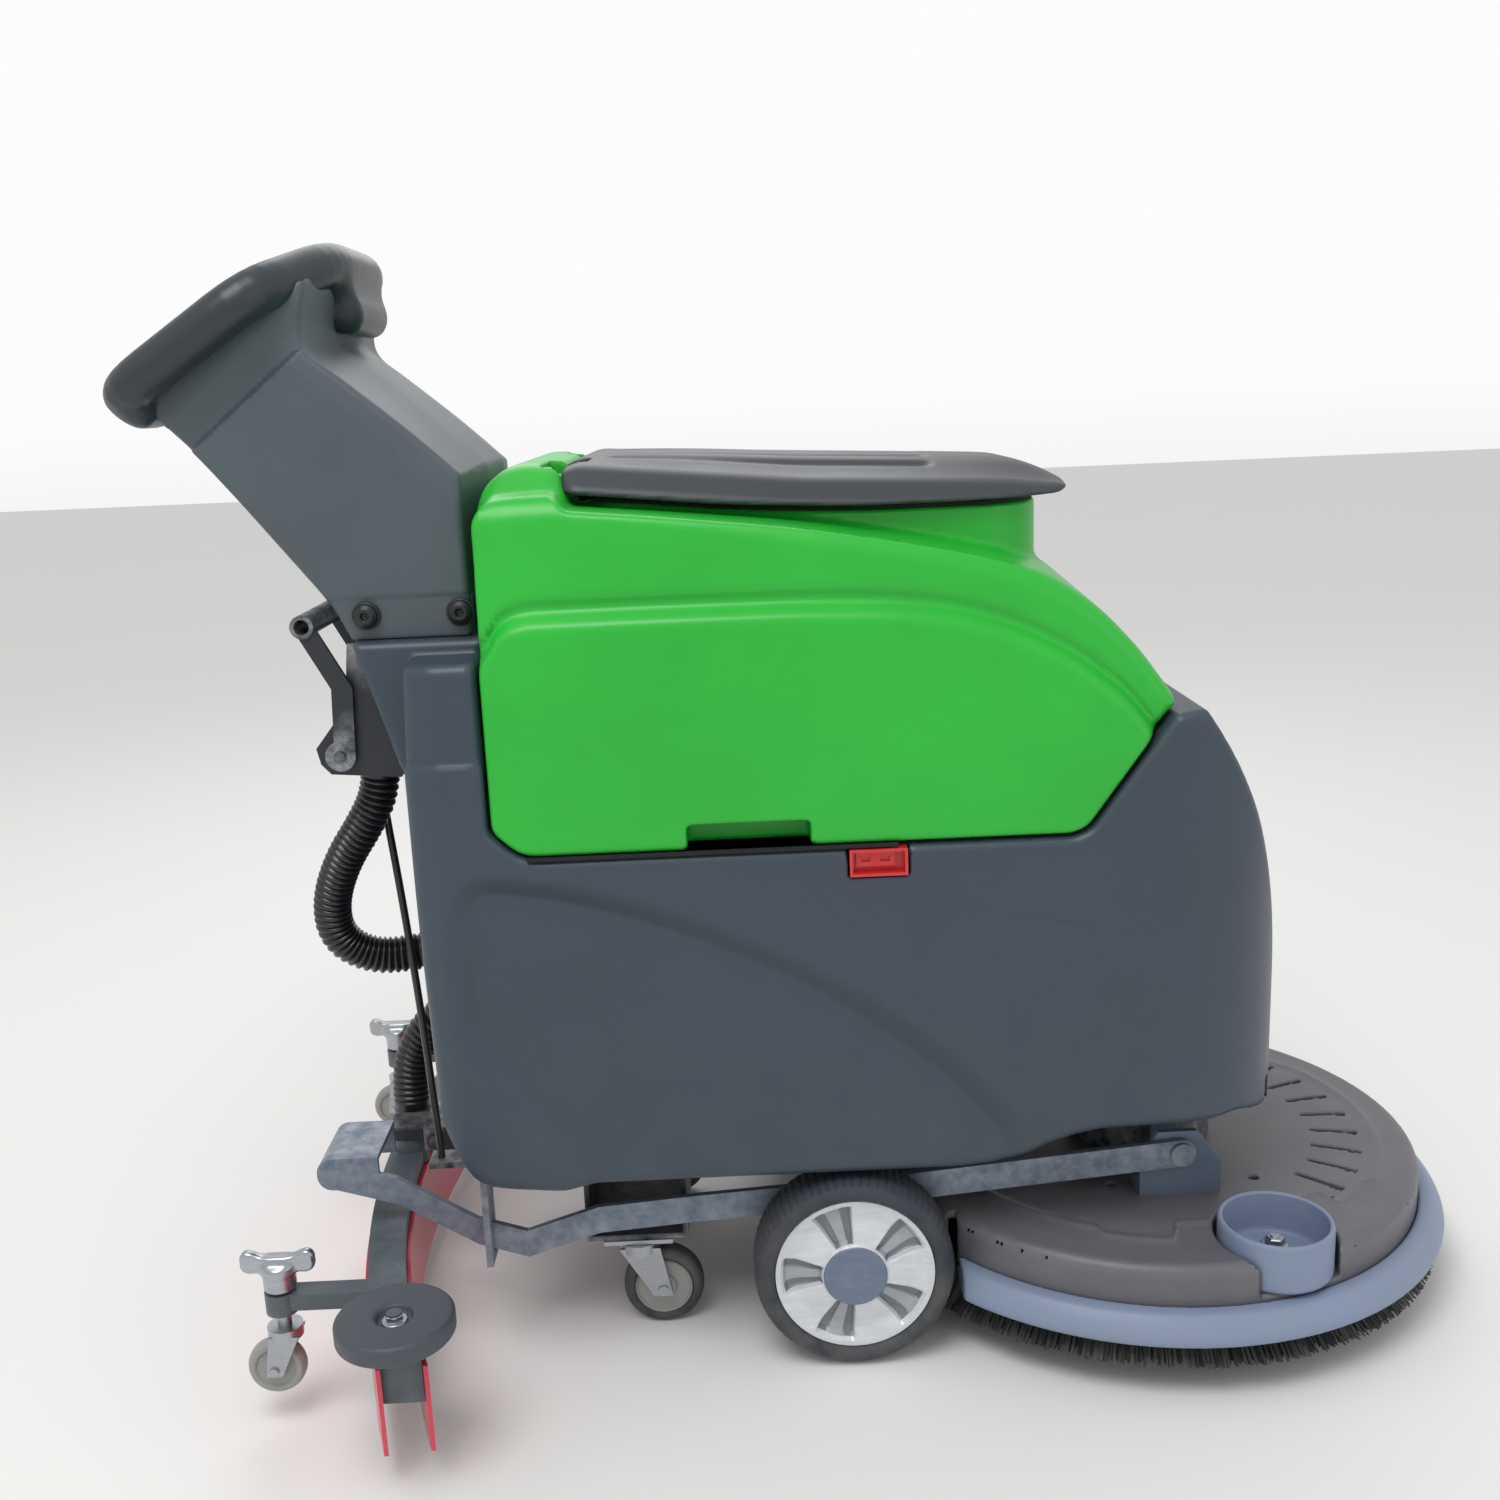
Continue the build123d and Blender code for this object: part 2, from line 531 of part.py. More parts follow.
# float shut-off cage hung in the tank's mouth
with BuildPart() as float_cage:
    add(z_rod(-120, 0, 34, 620, 740))
    add(z_rod(-120, 0, 30, 624, 741), mode=Mode.SUBTRACT)
    add(block(-192, -80, -10, 10, 740, 744))
    add(block(-192, -188, -10, 10, 736, 744))
save(float_cage.part, "float_cage")

lid_side = [(-222, rim_line[0][1] + lid_gap + 2)]
lid_side += [(x, z + lid_gap) for x, z in rim_line[1:]]
lid_side += [(214, 776), (198, 788), (160, 796), (77, 801), (-107, 808), (-205, 810), (-222, 806)]
with BuildPart() as tank_lid:
    add(side_slab(lid_side, lid_half))
    add(plan_slab(-222, 214, lid_half, 700, 850, 70, 16), mode=Mode.INTERSECT)
    add(side_slab([(-196, 770), (-90, 760), (17, 750), (190, 750), (186, 786), (77, 795),
                   (-107, 802), (-196, 803)], lid_half - 12), mode=Mode.SUBTRACT)
    for side in (-1, 1):
        add(block(-230, -200, side * 106 - 8, side * 106 + 8, 700, 850), mode=Mode.SUBTRACT)
        add(y_rod(hinge[0] + 8, hinge[1], 7, side * 124 - 9, side * 124 + 9))
        add(y_rod(hinge[0] + 8, hinge[1], 7, side * 88 - 9, side * 88 + 9))
        add(y_rod(hinge[0], hinge[1], 3 + run_fit, side * 106 - 16, side * 106 + 16),
            mode=Mode.SUBTRACT)
save(tank_lid.part, "tank_lid")

with BuildPart() as lid_gasket:
    add(plan_slab(collar_x[0] + 2, collar_x[1] - 2, collar_half - 2, 700, 800, 58, 28))
    add(plan_slab(collar_x[0] + 10, collar_x[1] - 10, collar_half - 10, 700, 800, 52, 24),
        mode=Mode.SUBTRACT)
    add(side_slab(rim_band(0, rim_seal), collar_half), mode=Mode.INTERSECT)
save(lid_gasket.part, "lid_gasket")

# ---- handle column, grip and control panel ----
tilt = math.radians(grip_tilt)
grip_origin = (-576.0, 870.0)
grip_plane = Plane((grip_origin[0], 0, grip_origin[1]), x_dir=(math.cos(tilt), 0, math.sin(tilt)),
                   z_dir=(-math.sin(tilt), 0, math.cos(tilt)))
panel_n = -10.0
panel_edge = [(grip_origin[0] + math.cos(tilt) * u - math.sin(tilt) * panel_n,
               grip_origin[1] + math.sin(tilt) * u + math.cos(tilt) * panel_n) for u in (10, 190)]
neck_side = [
    (-405, column_top), (-415, 703), (-483, 795), (-512, 831), (-549, 860), panel_edge[0],
    panel_edge[1], (-403, 955), (-414, 922), (-388, 909), (-332, 861), (column_front - 1, 826),
    (column_front - 1, column_top),
]
neck_inside = [
    (-399, column_top - 1), (-409, 701), (-478, 793), (-507, 827), (-528, 846), (-523, 868),
    (-438, 925), (-421, 918), (-392, 902), (-337, 855), (column_front - 7, 820),
    (column_front - 7, column_top - 1),
]
panel_plane = grip_plane.offset(panel_n)
panel_axis = Axis((0, 0, 0), panel_plane.z_dir)
panel_t = 5.0
panel_w = 248.0
key_place = (90.0, -70.0)                 # along and across the panel
button_places = {"brush_button": (90.0, -25.0), "vacuum_button": (90.0, 15.0)}
dial_place = (92.0, 68.0)
gauge_place = (142.0, 0.0)
button_size = (26.0, 18.0)
panel_front = 175.0
panel_back = 62.0
motor_place = (-352.0, 48.0)              # x and radius of the vacuum motor
slot_l = 72.0                             # finger gap behind the panel
slot_w = 230.0
slot_end = 54.0
slot_deep = 90.0
bail_pivot = (42.0, -16.0)                # dead-man bar, along the handle and off its plane
bail_plane = Plane(grip_plane.from_local_coords((bail_pivot[0], 0, bail_pivot[1])),
                   x_dir=grip_plane.x_dir, z_dir=(0, 1, 0))
with BuildPart() as slot_liner:
    with BuildSketch(grip_plane.offset(-slot_deep - neck_wall)):
        with Locations((slot_end - slot_l / 2, 0)):
            Rectangle(slot_l + 2 * neck_wall, slot_w + 2 * neck_wall)
    extrude(amount=slot_deep + neck_wall + panel_n)
    add(side_slab(neck_side, neck_half - 1), mode=Mode.INTERSECT)
with BuildPart() as neck_column:
    add(side_slab(neck_side, neck_half))
    add(side_slab(neck_inside, neck_half - neck_wall), mode=Mode.SUBTRACT)
    add(slot_liner.part)
    with BuildSketch(grip_plane.offset(-slot_deep)):
        with Locations((slot_end - slot_l / 2, 0)):
            Rectangle(slot_l, slot_w)
    extrude(amount=slot_deep + 60, mode=Mode.SUBTRACT)
    with BuildSketch(panel_plane.offset(-12)):
        with Locations(((panel_back + panel_front) / 2 + 2, 0)):
            Trapezoid(panel_w - 24, panel_front - panel_back - 16, 61, rotation=-90)
    extrude(amount=20, mode=Mode.SUBTRACT)
    with BuildSketch(bail_plane):
        Circle(4 + run_fit)
    extrude(amount=slot_w / 2 + 20, both=True, mode=Mode.SUBTRACT)
save(neck_column.part, "neck_column")

with BuildPart() as neck_bolts:
    for side in (-1, 1):
        for bolt_x in (-390.0, -311.0):
            add(y_rod(bolt_x, 689, 12, min(side * neck_half, side * (neck_half + 9)),
                      max(side * neck_half, side * (neck_half + 9))))
save(neck_bolts.part, "neck_bolts")

vacuum_low = column_top + neck_stub
with BuildPart() as vacuum_motor:
    add(z_rod(motor_place[0], 0, motor_place[1], vacuum_low, vacuum_low + 40))
    add(z_rod(motor_place[0], 0, motor_place[1] - 10, vacuum_low + 39, vacuum_low + 105))
save(vacuum_motor.part, "vacuum_motor")

grip_corners = [(0, -165), (60, -165), (196, -96), (196, 96), (60, 165), (0, 165)]
with BuildPart() as handle_ring:
    with BuildLine(grip_plane):
        grip_line = FilletPolyline(*grip_corners, radius=46, close=True)
    with BuildSketch(Plane(grip_line @ 0, z_dir=grip_line % 0)):
        Circle(grip_r)
    sweep(path=grip_line)
save(handle_ring.part, "handle_ring")

with BuildPart() as control_panel:
    with BuildSketch(panel_plane):
        with Locations(((panel_back + panel_front) / 2, 0)):
            Trapezoid(panel_w, panel_front - panel_back, 61, rotation=-90)
    extrude(amount=panel_t)
    with BuildSketch(panel_plane.offset(-1)):
        with Locations(key_place, dial_place):
            Circle(7 + run_fit)
        with Locations(*button_places.values()):
            Rectangle(button_size[0] + 2 * air, button_size[1] + 2 * air)
        with Locations(gauge_place):
            Rectangle(22, 52)
    extrude(amount=panel_t + 2, mode=Mode.SUBTRACT)
save(control_panel.part, "control_panel")

with BuildPart() as battery_gauge:
    with BuildSketch(panel_plane):
        with Locations(gauge_place):
            Rectangle(22, 52)
    extrude(amount=panel_t - 1)
save(battery_gauge.part, "battery_gauge")

with BuildPart() as key_switch:
    with BuildSketch(panel_plane):
        with Locations(key_place):
            Circle(7)
    extrude(amount=panel_t + 3)
    with BuildSketch(panel_plane.offset(panel_t + 3)):
        with Locations(key_place):
            Rectangle(3, 10)
    extrude(amount=6)
    with BuildSketch(panel_plane.offset(panel_t + 8)):
        with Locations(key_place):
            Rectangle(3, 22)
    extrude(amount=17)
save(key_switch.part, "key_switch")

for name, place in button_places.items():
    with BuildPart() as button:
        with BuildSketch(panel_plane.offset(-3)):
            with Locations(place):
                Rectangle(*button_size)
        extrude(amount=panel_t + 6)
        chamfer(button.faces().sort_by(panel_axis)[-1].edges(), 1.5)
    save(button.part, name)

with BuildPart() as water_dial:
    with BuildSketch(panel_plane):
        with Locations(dial_place):
            Circle(7)
    extrude(amount=panel_t + 1)
    with BuildSketch(panel_plane.offset(panel_t + air)):
        with Locations(dial_place):
            Circle(18)
    extrude(amount=14)
    chamfer(water_dial.edges().filter_by(GeomType.CIRCLE).sort_by(panel_axis)[-1], 2)
    with BuildSketch(panel_plane.offset(panel_t + 8)):
        with Locations((dial_place[0] + 13, dial_place[1])):
            Rectangle(6, 2)
    extrude(amount=8)
save(water_dial.part, "water_dial")

# dead-man bar in the finger gap behind the panel, on two stubs of its own
with BuildPart() as deadman_lever:
    with BuildSketch(grip_plane.offset(bail_pivot[1] - 5)):
        with Locations((bail_pivot[0] - 14, 0)):
            RectangleRounded(14, 196, 5)
        for side in (-1, 1):
            with Locations((bail_pivot[0] - 6, side * 92)):
                Rectangle(20, 10)
    extrude(amount=10)
    for side in (-1, 1):
        with BuildSketch(bail_plane.offset(side * 87)):
            Circle(4)
        extrude(amount=side * (slot_w / 2 + neck_wall - 1 - 87))
save(deadman_lever.part, "deadman_lever")

# ---- squeegee lift lever and its bracket on the column ----
lever_pivot = (-425.0, 568.0)
bracket_y = (-136.0, -40.0)
bracket_side = [(-447, 574), (-444, 560), (-436, 551), (-376, 546), (-372.5, 560), (-402, 664),
                (-412, 664), (-418, 610)]
bracket_flange = [(-372.5, 560), (-402, 664), (-406, 664), (-376.5, 560)]
with BuildPart() as lever_bracket:
    for plate in bracket_y:
        add(side_slab(bracket_side, 2, plate))
    flange_half = (bracket_y[1] - bracket_y[0]) / 2 + 2
    add(side_slab(bracket_flange, flange_half, sum(bracket_y) / 2))
    add(side_slab([(-436, 551), (-376, 546), (-376, 550), (-436, 555)], flange_half,
                  sum(bracket_y) / 2))
    add(y_rod(lever_pivot[0], lever_pivot[1], 5, bracket_y[0] - 14, bracket_y[1] + 14))
    add(z_rod(-405, -88, hose_r, 540, 560), mode=Mode.SUBTRACT)
save(lever_bracket.part, "lever_bracket")

lever_path = [(-446, 681), (-418, 627), (-421, 568)]
lever_y = (bracket_y[0] - 7, bracket_y[1] + 7)
with BuildPart() as lift_lever:
    for plate in lever_y:
        lever_edge = [(x + 9, z) for x, z in lever_path]
        lever_edge += [(x - 9, z) for x, z in reversed(lever_path)]
        add(side_slab(lever_edge, 2.5, plate))
        add(y_rod(lever_pivot[0], lever_pivot[1], 13, plate - 2.5, plate + 2.5))
    add(y_rod(lever_path[0][0], lever_path[0][1], 10, lever_y[0] - 5, lever_y[1] + 5))
    add(y_rod(lever_path[0][0], lever_path[0][1], 6.5, lever_y[0] - 6, lever_y[1] + 6),
        mode=Mode.SUBTRACT)
    for plate in lever_y:
        add(y_rod(lever_pivot[0], lever_pivot[1], 5 + run_fit, plate - 4, plate + 4),
            mode=Mode.SUBTRACT)
save(lift_lever.part, "lift_lever")


def cord_radii(points):
    """Largest tangent arc at each corner of a route: 0.45 of the shorter run over tan(half turn)."""
    radii = []
    for before, here, after in zip(points, points[1:], points[2:]):
        into = Vector(*here) - Vector(*before)
        out = Vector(*after) - Vector(*here)
        half_turn = math.radians(into.get_angle(out)) / 2
        radii.append(0.45 * min(into.length, out.length) / math.tan(half_turn))
    return radii


def cord_tube(points, radius, name):
    """A tube of straight runs and tangent arcs along the route."""
    radii = cord_radii(points)
    print(name, "arc radii", [round(value) for value in radii])
    with BuildPart() as tube:
        with BuildLine():
            route = FilletPolyline(*points, radius=radii)
        with BuildSketch(Plane(route @ 0, z_dir=route % 0)):
            Circle(radius)
        sweep(path=route)
    print(name, "length", round(route.length), "volume ratio",
          round(tube.part.volume / (math.pi * radius ** 2 * route.length), 3))
    save(tube.part, name)


drain_points = [(-405, -88, 546), (-407, -87, 523), (-424, -84, 492), (-451, -76, 455),
                (-469, -66, 412), (-468, -57, 374), (-442, -49, 352), (-406, -43, 349),
                (body_back, drain_port[0], drain_port[1])]
cord_tube(drain_points, hose_r, "drain_hose")

cable_points = [(-414, -58, 546), (-411, -62, 500), (-404, -68, 440), (-397, -75, 372),
                (-391, -81, 300), (-387, -83, 228), cable_end]
cord_tube(cable_points, cable_r, "lift_cable")

elbow_x = squeegee_mid - 2
elbow_y = 44.0
elbow_top = 152.0
suction_points = [(body_back + 2, suction_port[0], suction_port[1]), (-384, 42, 259),
                  (-410, 42, 244), (-429, 43, 214), (elbow_x, elbow_y, 182),
                  (elbow_x, elbow_y, elbow_top + air)]
cord_tube(suction_points, suction_r, "suction_hose")

# collar that holds the drain hose under the lever bracket
with BuildPart() as drain_collar:
    add(z_rod(-405, -88, hose_r - air, 546, 566))
    add(z_rod(-405, -88, hose_r - 4, 545, 567), mode=Mode.SUBTRACT)
save(drain_collar.part, "drain_collar")

# ---- squeegee: arm, level carriage, curved body with two blades ----
carriage_pivot = (-400.0, squeegee_pivot[1])
with BuildPart() as squeegee_arm:
    for side in (-1, 1):
        add(side_slab([(squeegee_pivot[0], squeegee_pivot[1] + 10),
                       (squeegee_pivot[0], squeegee_pivot[1] - 10),
                       (carriage_pivot[0], carriage_pivot[1] - 10),
                       (carriage_pivot[0], carriage_pivot[1] + 10)], 2.5, side * 32))
        for end_x, end_z in (squeegee_pivot, carriage_pivot):
            add(y_rod(end_x, end_z, 10, side * 32 - 2.5, side * 32 + 2.5))
    add(y_rod(squeegee_pivot[0], squeegee_pivot[1], 6, -46, 46))
    add(y_rod(carriage_pivot[0], carriage_pivot[1], 6, -36, 36))
save(squeegee_arm.part, "squeegee_arm")

swivel_x = -431.0
with BuildPart() as squeegee_carriage:
    add(block(carriage_pivot[0] - 12, carriage_pivot[0] + 12, -29, 29, 138, 162))
    add(block(-449, carriage_pivot[0], -17, 17, 143, 157))
    add(z_rod(swivel_x, 0, 8, 106, 150))
    add(y_rod(carriage_pivot[0], carriage_pivot[1], 6 + run_fit, -40, 40), mode=Mode.SUBTRACT)
save(squeegee_carriage.part, "squeegee_carriage")


def bent_bar(inner, outer, low, high, half):
    """A bar that follows the squeegee's curve, between two radii."""
    with BuildPart() as bar:
        with BuildSketch(Plane.XY.offset(low)):
            with Locations((squeegee_centre, 0)):
                Circle(outer)
                Circle(inner, mode=Mode.SUBTRACT)
        extrude(amount=high - low)
        add(block(-700, 0, -half, half, low, high), mode=Mode.INTERSECT)
    return bar.part


caster_arm_y = 250.0
stem_x = -495.0
roller_place = (squeegee_centre - math.sqrt(squeegee_bend ** 2 - 330 ** 2), 330.0)
roller_low = 131.0
roller_high = 149.0
body_inner = squeegee_bend - squeegee_thick / 2
body_outer = squeegee_bend + squeegee_thick / 2
with BuildPart() as squeegee_body:
    add(bent_bar(body_inner, body_outer, squeegee_low, squeegee_top, squeegee_half))
    add(z_rod(swivel_x, 0, 16, 114, 142))
    add(z_rod(elbow_x, elbow_y, suction_r, squeegee_top - 14, elbow_top))
    add(z_rod(elbow_x, elbow_y, suction_r - 4, squeegee_low - 1, elbow_top + 1), mode=Mode.SUBTRACT)
    for side in (-1, 1):
        add(block(stem_x, -408, side * caster_arm_y - 10, side * caster_arm_y + 10, 112, 127))
        add(z_rod(stem_x, side * caster_arm_y, 14, 108, 127))
        add(z_rod(stem_x, side * caster_arm_y, 6 + run_fit, 100, 130), mode=Mode.SUBTRACT)
        add(z_rod(roller_place[0], side * roller_place[1], 6, squeegee_top - 4, roller_high + 2))
        add(z_rod(roller_place[0], side * roller_place[1], 12, squeegee_top - 4,
                  roller_low - air))
    add(z_rod(swivel_x, 0, 8 + run_fit, 104, 160), mode=Mode.SUBTRACT)
save(squeegee_body.part, "squeegee_body")

blade_air = 0.3
save(bent_bar(body_inner - blade_air - blade_t, body_inner - blade_air, 34, 112,
              squeegee_half + 6), "front_blade")
save(bent_bar(body_outer + blade_air, body_outer + blade_air + blade_t, 31, 110,
              squeegee_half + 6), "rear_blade")

small_r = 25.0
small_z = 56.0
small_x = stem_x - 10
for side, name in ((-1, "right"), (1, "left")):
    middle = side * caster_arm_y
    with BuildPart() as roller:
        add(z_rod(roller_place[0], side * roller_place[1], 48.5, roller_low, roller_high))
        fillet(roller.edges().filter_by(GeomType.CIRCLE), 3)
        add(z_rod(roller_place[0], side * roller_place[1], 6 + run_fit, 120, 160),
            mode=Mode.SUBTRACT)
    save(roller.part, "end_roller_" + name)
    with BuildPart() as small_fork:
        add(z_rod(stem_x, middle, 6, 84, 139))
        add(z_rod(stem_x, middle, 15, 84, 94))
        for leg in (-1, 1):
            add(side_slab([(stem_x - 12, 88), (stem_x + 14, 88), (small_x + 7, small_z - 5),
                           (small_x - 7, small_z - 5)], 1.25, middle + leg * 11.5))
        add(y_rod(small_x, small_z, 4, middle - 15, middle + 15))
    save(small_fork.part, "squeegee_fork_" + name)
    with BuildPart() as small_wheel:
        add(y_rod(small_x, small_z, small_r, middle - 9, middle + 9))
        fillet(small_wheel.edges().filter_by(GeomType.CIRCLE), 5)
        add(y_rod(small_x, small_z, 4 + run_fit, middle - 20, middle + 20), mode=Mode.SUBTRACT)
    save(small_wheel.part, "squeegee_wheel_" + name)
    with BuildPart() as wing_knob:
        add(z_rod(stem_x, middle, 14, 128, 156))
        with BuildSketch(Plane.XY.offset(146)):
            with Locations((stem_x, middle)):
                SlotOverall(64, 14)
        extrude(amount=18)
        add(z_rod(stem_x, middle, 6 + run_fit, 120, 141), mode=Mode.SUBTRACT)
    save(wing_knob.part, "wing_knob_" + name)
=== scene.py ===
import json
import math
import random

import bpy
import numpy as np
from mathutils import Matrix, Vector


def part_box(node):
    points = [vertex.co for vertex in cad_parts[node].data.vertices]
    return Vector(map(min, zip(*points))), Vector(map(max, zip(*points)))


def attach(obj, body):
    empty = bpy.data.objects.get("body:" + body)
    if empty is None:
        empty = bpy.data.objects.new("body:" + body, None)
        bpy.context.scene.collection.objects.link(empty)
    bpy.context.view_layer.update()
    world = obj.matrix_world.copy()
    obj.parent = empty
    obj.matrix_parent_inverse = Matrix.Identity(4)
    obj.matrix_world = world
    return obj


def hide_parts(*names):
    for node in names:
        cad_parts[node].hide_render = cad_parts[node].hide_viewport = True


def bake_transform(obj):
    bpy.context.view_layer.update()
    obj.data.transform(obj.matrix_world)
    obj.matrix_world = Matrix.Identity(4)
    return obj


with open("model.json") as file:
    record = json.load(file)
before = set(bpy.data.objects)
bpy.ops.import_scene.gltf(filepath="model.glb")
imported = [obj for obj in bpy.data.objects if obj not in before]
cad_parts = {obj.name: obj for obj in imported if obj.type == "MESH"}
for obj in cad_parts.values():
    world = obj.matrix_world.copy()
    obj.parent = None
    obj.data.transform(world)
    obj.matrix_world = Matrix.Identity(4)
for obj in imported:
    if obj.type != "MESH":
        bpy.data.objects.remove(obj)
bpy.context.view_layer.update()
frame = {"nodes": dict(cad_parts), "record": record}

mm = 0.001


def placeOf(node):
    low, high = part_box(node)
    return np.array(low), np.array(high)


# ---- node groups shared by the materials ----

def newGroup(name, inputs, outputs):
    tree = bpy.data.node_groups.new(name, "ShaderNodeTree")
    for label, kind, value in inputs:
        socket = tree.interface.new_socket(name=label, in_out="INPUT", socket_type=kind)
        socket.default_value = value
    for label, kind in outputs:
        tree.interface.new_socket(name=label, in_out="OUTPUT", socket_type=kind)
    return tree, tree.nodes.new("NodeGroupInput"), tree.nodes.new("NodeGroupOutput")


def wire(tree, start, end):
    tree.links.new(start, end)


def mathNode(tree, operation, first, second=None, clamp=False):
    node = tree.nodes.new("ShaderNodeMath")
    node.operation = operation
    node.use_clamp = clamp
    for slotNumber, value in enumerate((first, second)):
        if value is None:
            continue
        if isinstance(value, (int, float)):
            node.inputs[slotNumber].default_value = value
        else:
            tree.links.new(value, node.inputs[slotNumber])
    return node.outputs[0]


def rampNode(tree, fac, low, high, lowValue=0.0, highValue=1.0):
    node = tree.nodes.new("ShaderNodeMapRange")
    node.inputs["From Min"].default_value = low
    node.inputs["From Max"].default_value = high
    node.inputs["To Min"].default_value = lowValue
    node.inputs["To Max"].default_value = highValue
    tree.links.new(fac, node.inputs["Value"])
    return node.outputs["Result"]


def noiseNode(tree, place, scale, detail=3.0, roughness=0.5, stretch=None):
    if stretch is not None:
        mapping = tree.nodes.new("ShaderNodeMapping")
        mapping.inputs["Scale"].default_value = stretch
        tree.links.new(place, mapping.inputs["Vector"])
        place = mapping.outputs["Vector"]
    node = tree.nodes.new("ShaderNodeTexNoise")
    node.inputs["Detail"].default_value = detail
    node.inputs["Roughness"].default_value = roughness
    tree.links.new(place, node.inputs["Vector"])
    if isinstance(scale, (int, float)):
        node.inputs["Scale"].default_value = scale
    else:
        tree.links.new(scale, node.inputs["Scale"])
    return node.outputs["Fac"]


def buildMouldGrain():
    # fine pebble of a rotational moulding, with slow waves in the wall
    tree, given, put = newGroup("mouldGrain", [("Scale", "NodeSocketFloat", 900.0)],
                                [("Height", "NodeSocketFloat"), ("Mottle", "NodeSocketFloat")])
    place = tree.nodes.new("ShaderNodeTexCoord").outputs["Object"]
    cells = tree.nodes.new("ShaderNodeTexVoronoi")
    cells.feature = "SMOOTH_F1"
    wire(tree, place, cells.inputs["Vector"])
    wire(tree, given.outputs["Scale"], cells.inputs["Scale"])
    pebble = rampNode(tree, cells.outputs["Distance"], 0.05, 0.75, 1.0, 0.0)
    waves = noiseNode(tree, place, 14.0, 2.0)
    height = mathNode(tree, "ADD", mathNode(tree, "MULTIPLY", pebble, 0.3),
                      mathNode(tree, "MULTIPLY", waves, 0.7))
    wire(tree, height, put.inputs["Height"])
    slow = noiseNode(tree, place, 5.5, 4.0, 0.6)
    wire(tree, rampNode(tree, slow, 0.3, 0.7), put.inputs["Mottle"])
    return tree


def buildEdgeWear():
    # rubbed edges: convex places, broken up by noise
    tree, given, put = newGroup("edgeWear", [("Amount", "NodeSocketFloat", 0.5)],
                                [("Mask", "NodeSocketFloat")])
    shape = tree.nodes.new("ShaderNodeNewGeometry")
    place = tree.nodes.new("ShaderNodeTexCoord").outputs["Object"]
    convex = rampNode(tree, shape.outputs["Pointiness"], 0.52, 0.62)
    broken = rampNode(tree, noiseNode(tree, place, 60.0, 5.0, 0.65), 0.35, 0.65)
    mask = mathNode(tree, "MULTIPLY", convex, broken)
    wire(tree, mathNode(tree, "MULTIPLY", mask, given.outputs["Amount"], True), put.inputs["Mask"])
    return tree


def buildScuffs():
    # short faint scratches that run along the machine
    tree, given, put = newGroup("scuffs", [("Density", "NodeSocketFloat", 0.5)],
                                [("Mask", "NodeSocketFloat")])
    place = tree.nodes.new("ShaderNodeTexCoord").outputs["Object"]
    lines = noiseNode(tree, place, 30.0, 2.0, 0.5, (1.2, 5.0, 26.0))
    thin = rampNode(tree, lines, 0.66, 0.72)
    patch = rampNode(tree, noiseNode(tree, place, 6.0, 2.0), 0.5, 0.62)
    mask = mathNode(tree, "MULTIPLY", mathNode(tree, "MULTIPLY", thin, patch),
                    given.outputs["Density"], True)
    wire(tree, mask, put.inputs["Mask"])
    return tree


def buildFloorDust():
    # grey film that thickens towards the floor
    tree, given, put = newGroup("floorDust", [("Top", "NodeSocketFloat", 0.25),
                                              ("Amount", "NodeSocketFloat", 0.4)],
                                [("Mask", "NodeSocketFloat")])
    place = tree.nodes.new("ShaderNodeTexCoord").outputs["Object"]
    parts = tree.nodes.new("ShaderNodeSeparateXYZ")
    wire(tree, place, parts.inputs[0])
    above = mathNode(tree, "DIVIDE", parts.outputs["Z"], given.outputs["Top"])
    low = mathNode(tree, "SUBTRACT", 1.0, above, True)
    cloud = rampNode(tree, noiseNode(tree, place, 24.0, 6.0, 0.6), 0.35, 0.75)
    mask = mathNode(tree, "MULTIPLY", mathNode(tree, "MULTIPLY", low, cloud), given.outputs["Amount"], True)
    wire(tree, mask, put.inputs["Mask"])
    return tree


def buildBrushed():
    # fine drawn lines of rolled and plated steel
    tree, given, put = newGroup("drawnLines", [("Scale", "NodeSocketFloat", 220.0)],
                                [("Height", "NodeSocketFloat"), ("Tone", "NodeSocketFloat")])
    place = tree.nodes.new("ShaderNodeTexCoord").outputs["Object"]
    lines = noiseNode(tree, place, given.outputs["Scale"], 3.0, 0.6, (0.12, 1.0, 1.0))
    spangle = tree.nodes.new("ShaderNodeTexVoronoi")
    spangle.inputs["Scale"].default_value = 420.0
    wire(tree, place, spangle.inputs["Vector"])
    wire(tree, lines, put.inputs["Height"])
    tone = mathNode(tree, "ADD", mathNode(tree, "MULTIPLY", spangle.outputs["Distance"], 0.2),
                    mathNode(tree, "MULTIPLY", lines, 0.8))
    wire(tree, rampNode(tree, tone, 0.2, 0.75), put.inputs["Tone"])
    return tree


groups = {"mouldGrain": buildMouldGrain(), "edgeWear": buildEdgeWear(), "scuffs": buildScuffs(),
          "floorDust": buildFloorDust(), "drawnLines": buildBrushed()}


def useGroup(tree, name, **values):
    node = tree.nodes.new("ShaderNodeGroup")
    node.node_tree = groups[name]
    for label, value in values.items():
        node.inputs[label].default_value = value
    return node


def linear(colour):
    return tuple((c / 12.92 if c <= 0.04045 else ((c + 0.055) / 1.055) ** 2.4)
                 for c in (part / 255 for part in colour)) + (1.0,)


def mixColour(tree, fac, first, second, blend="MIX"):
    node = tree.nodes.new("ShaderNodeMix")
    node.data_type = "RGBA"
    node.blend_type = blend
    if isinstance(fac, (int, float)):
        node.inputs[0].default_value = fac
    else:
        tree.links.new(fac, node.inputs[0])
    for slotNumber, value in ((6, first), (7, second)):
        if isinstance(value, tuple):
            node.inputs[slotNumber].default_value = value
        else:
            tree.links.new(value, node.inputs[slotNumber])
    return node.outputs[2]


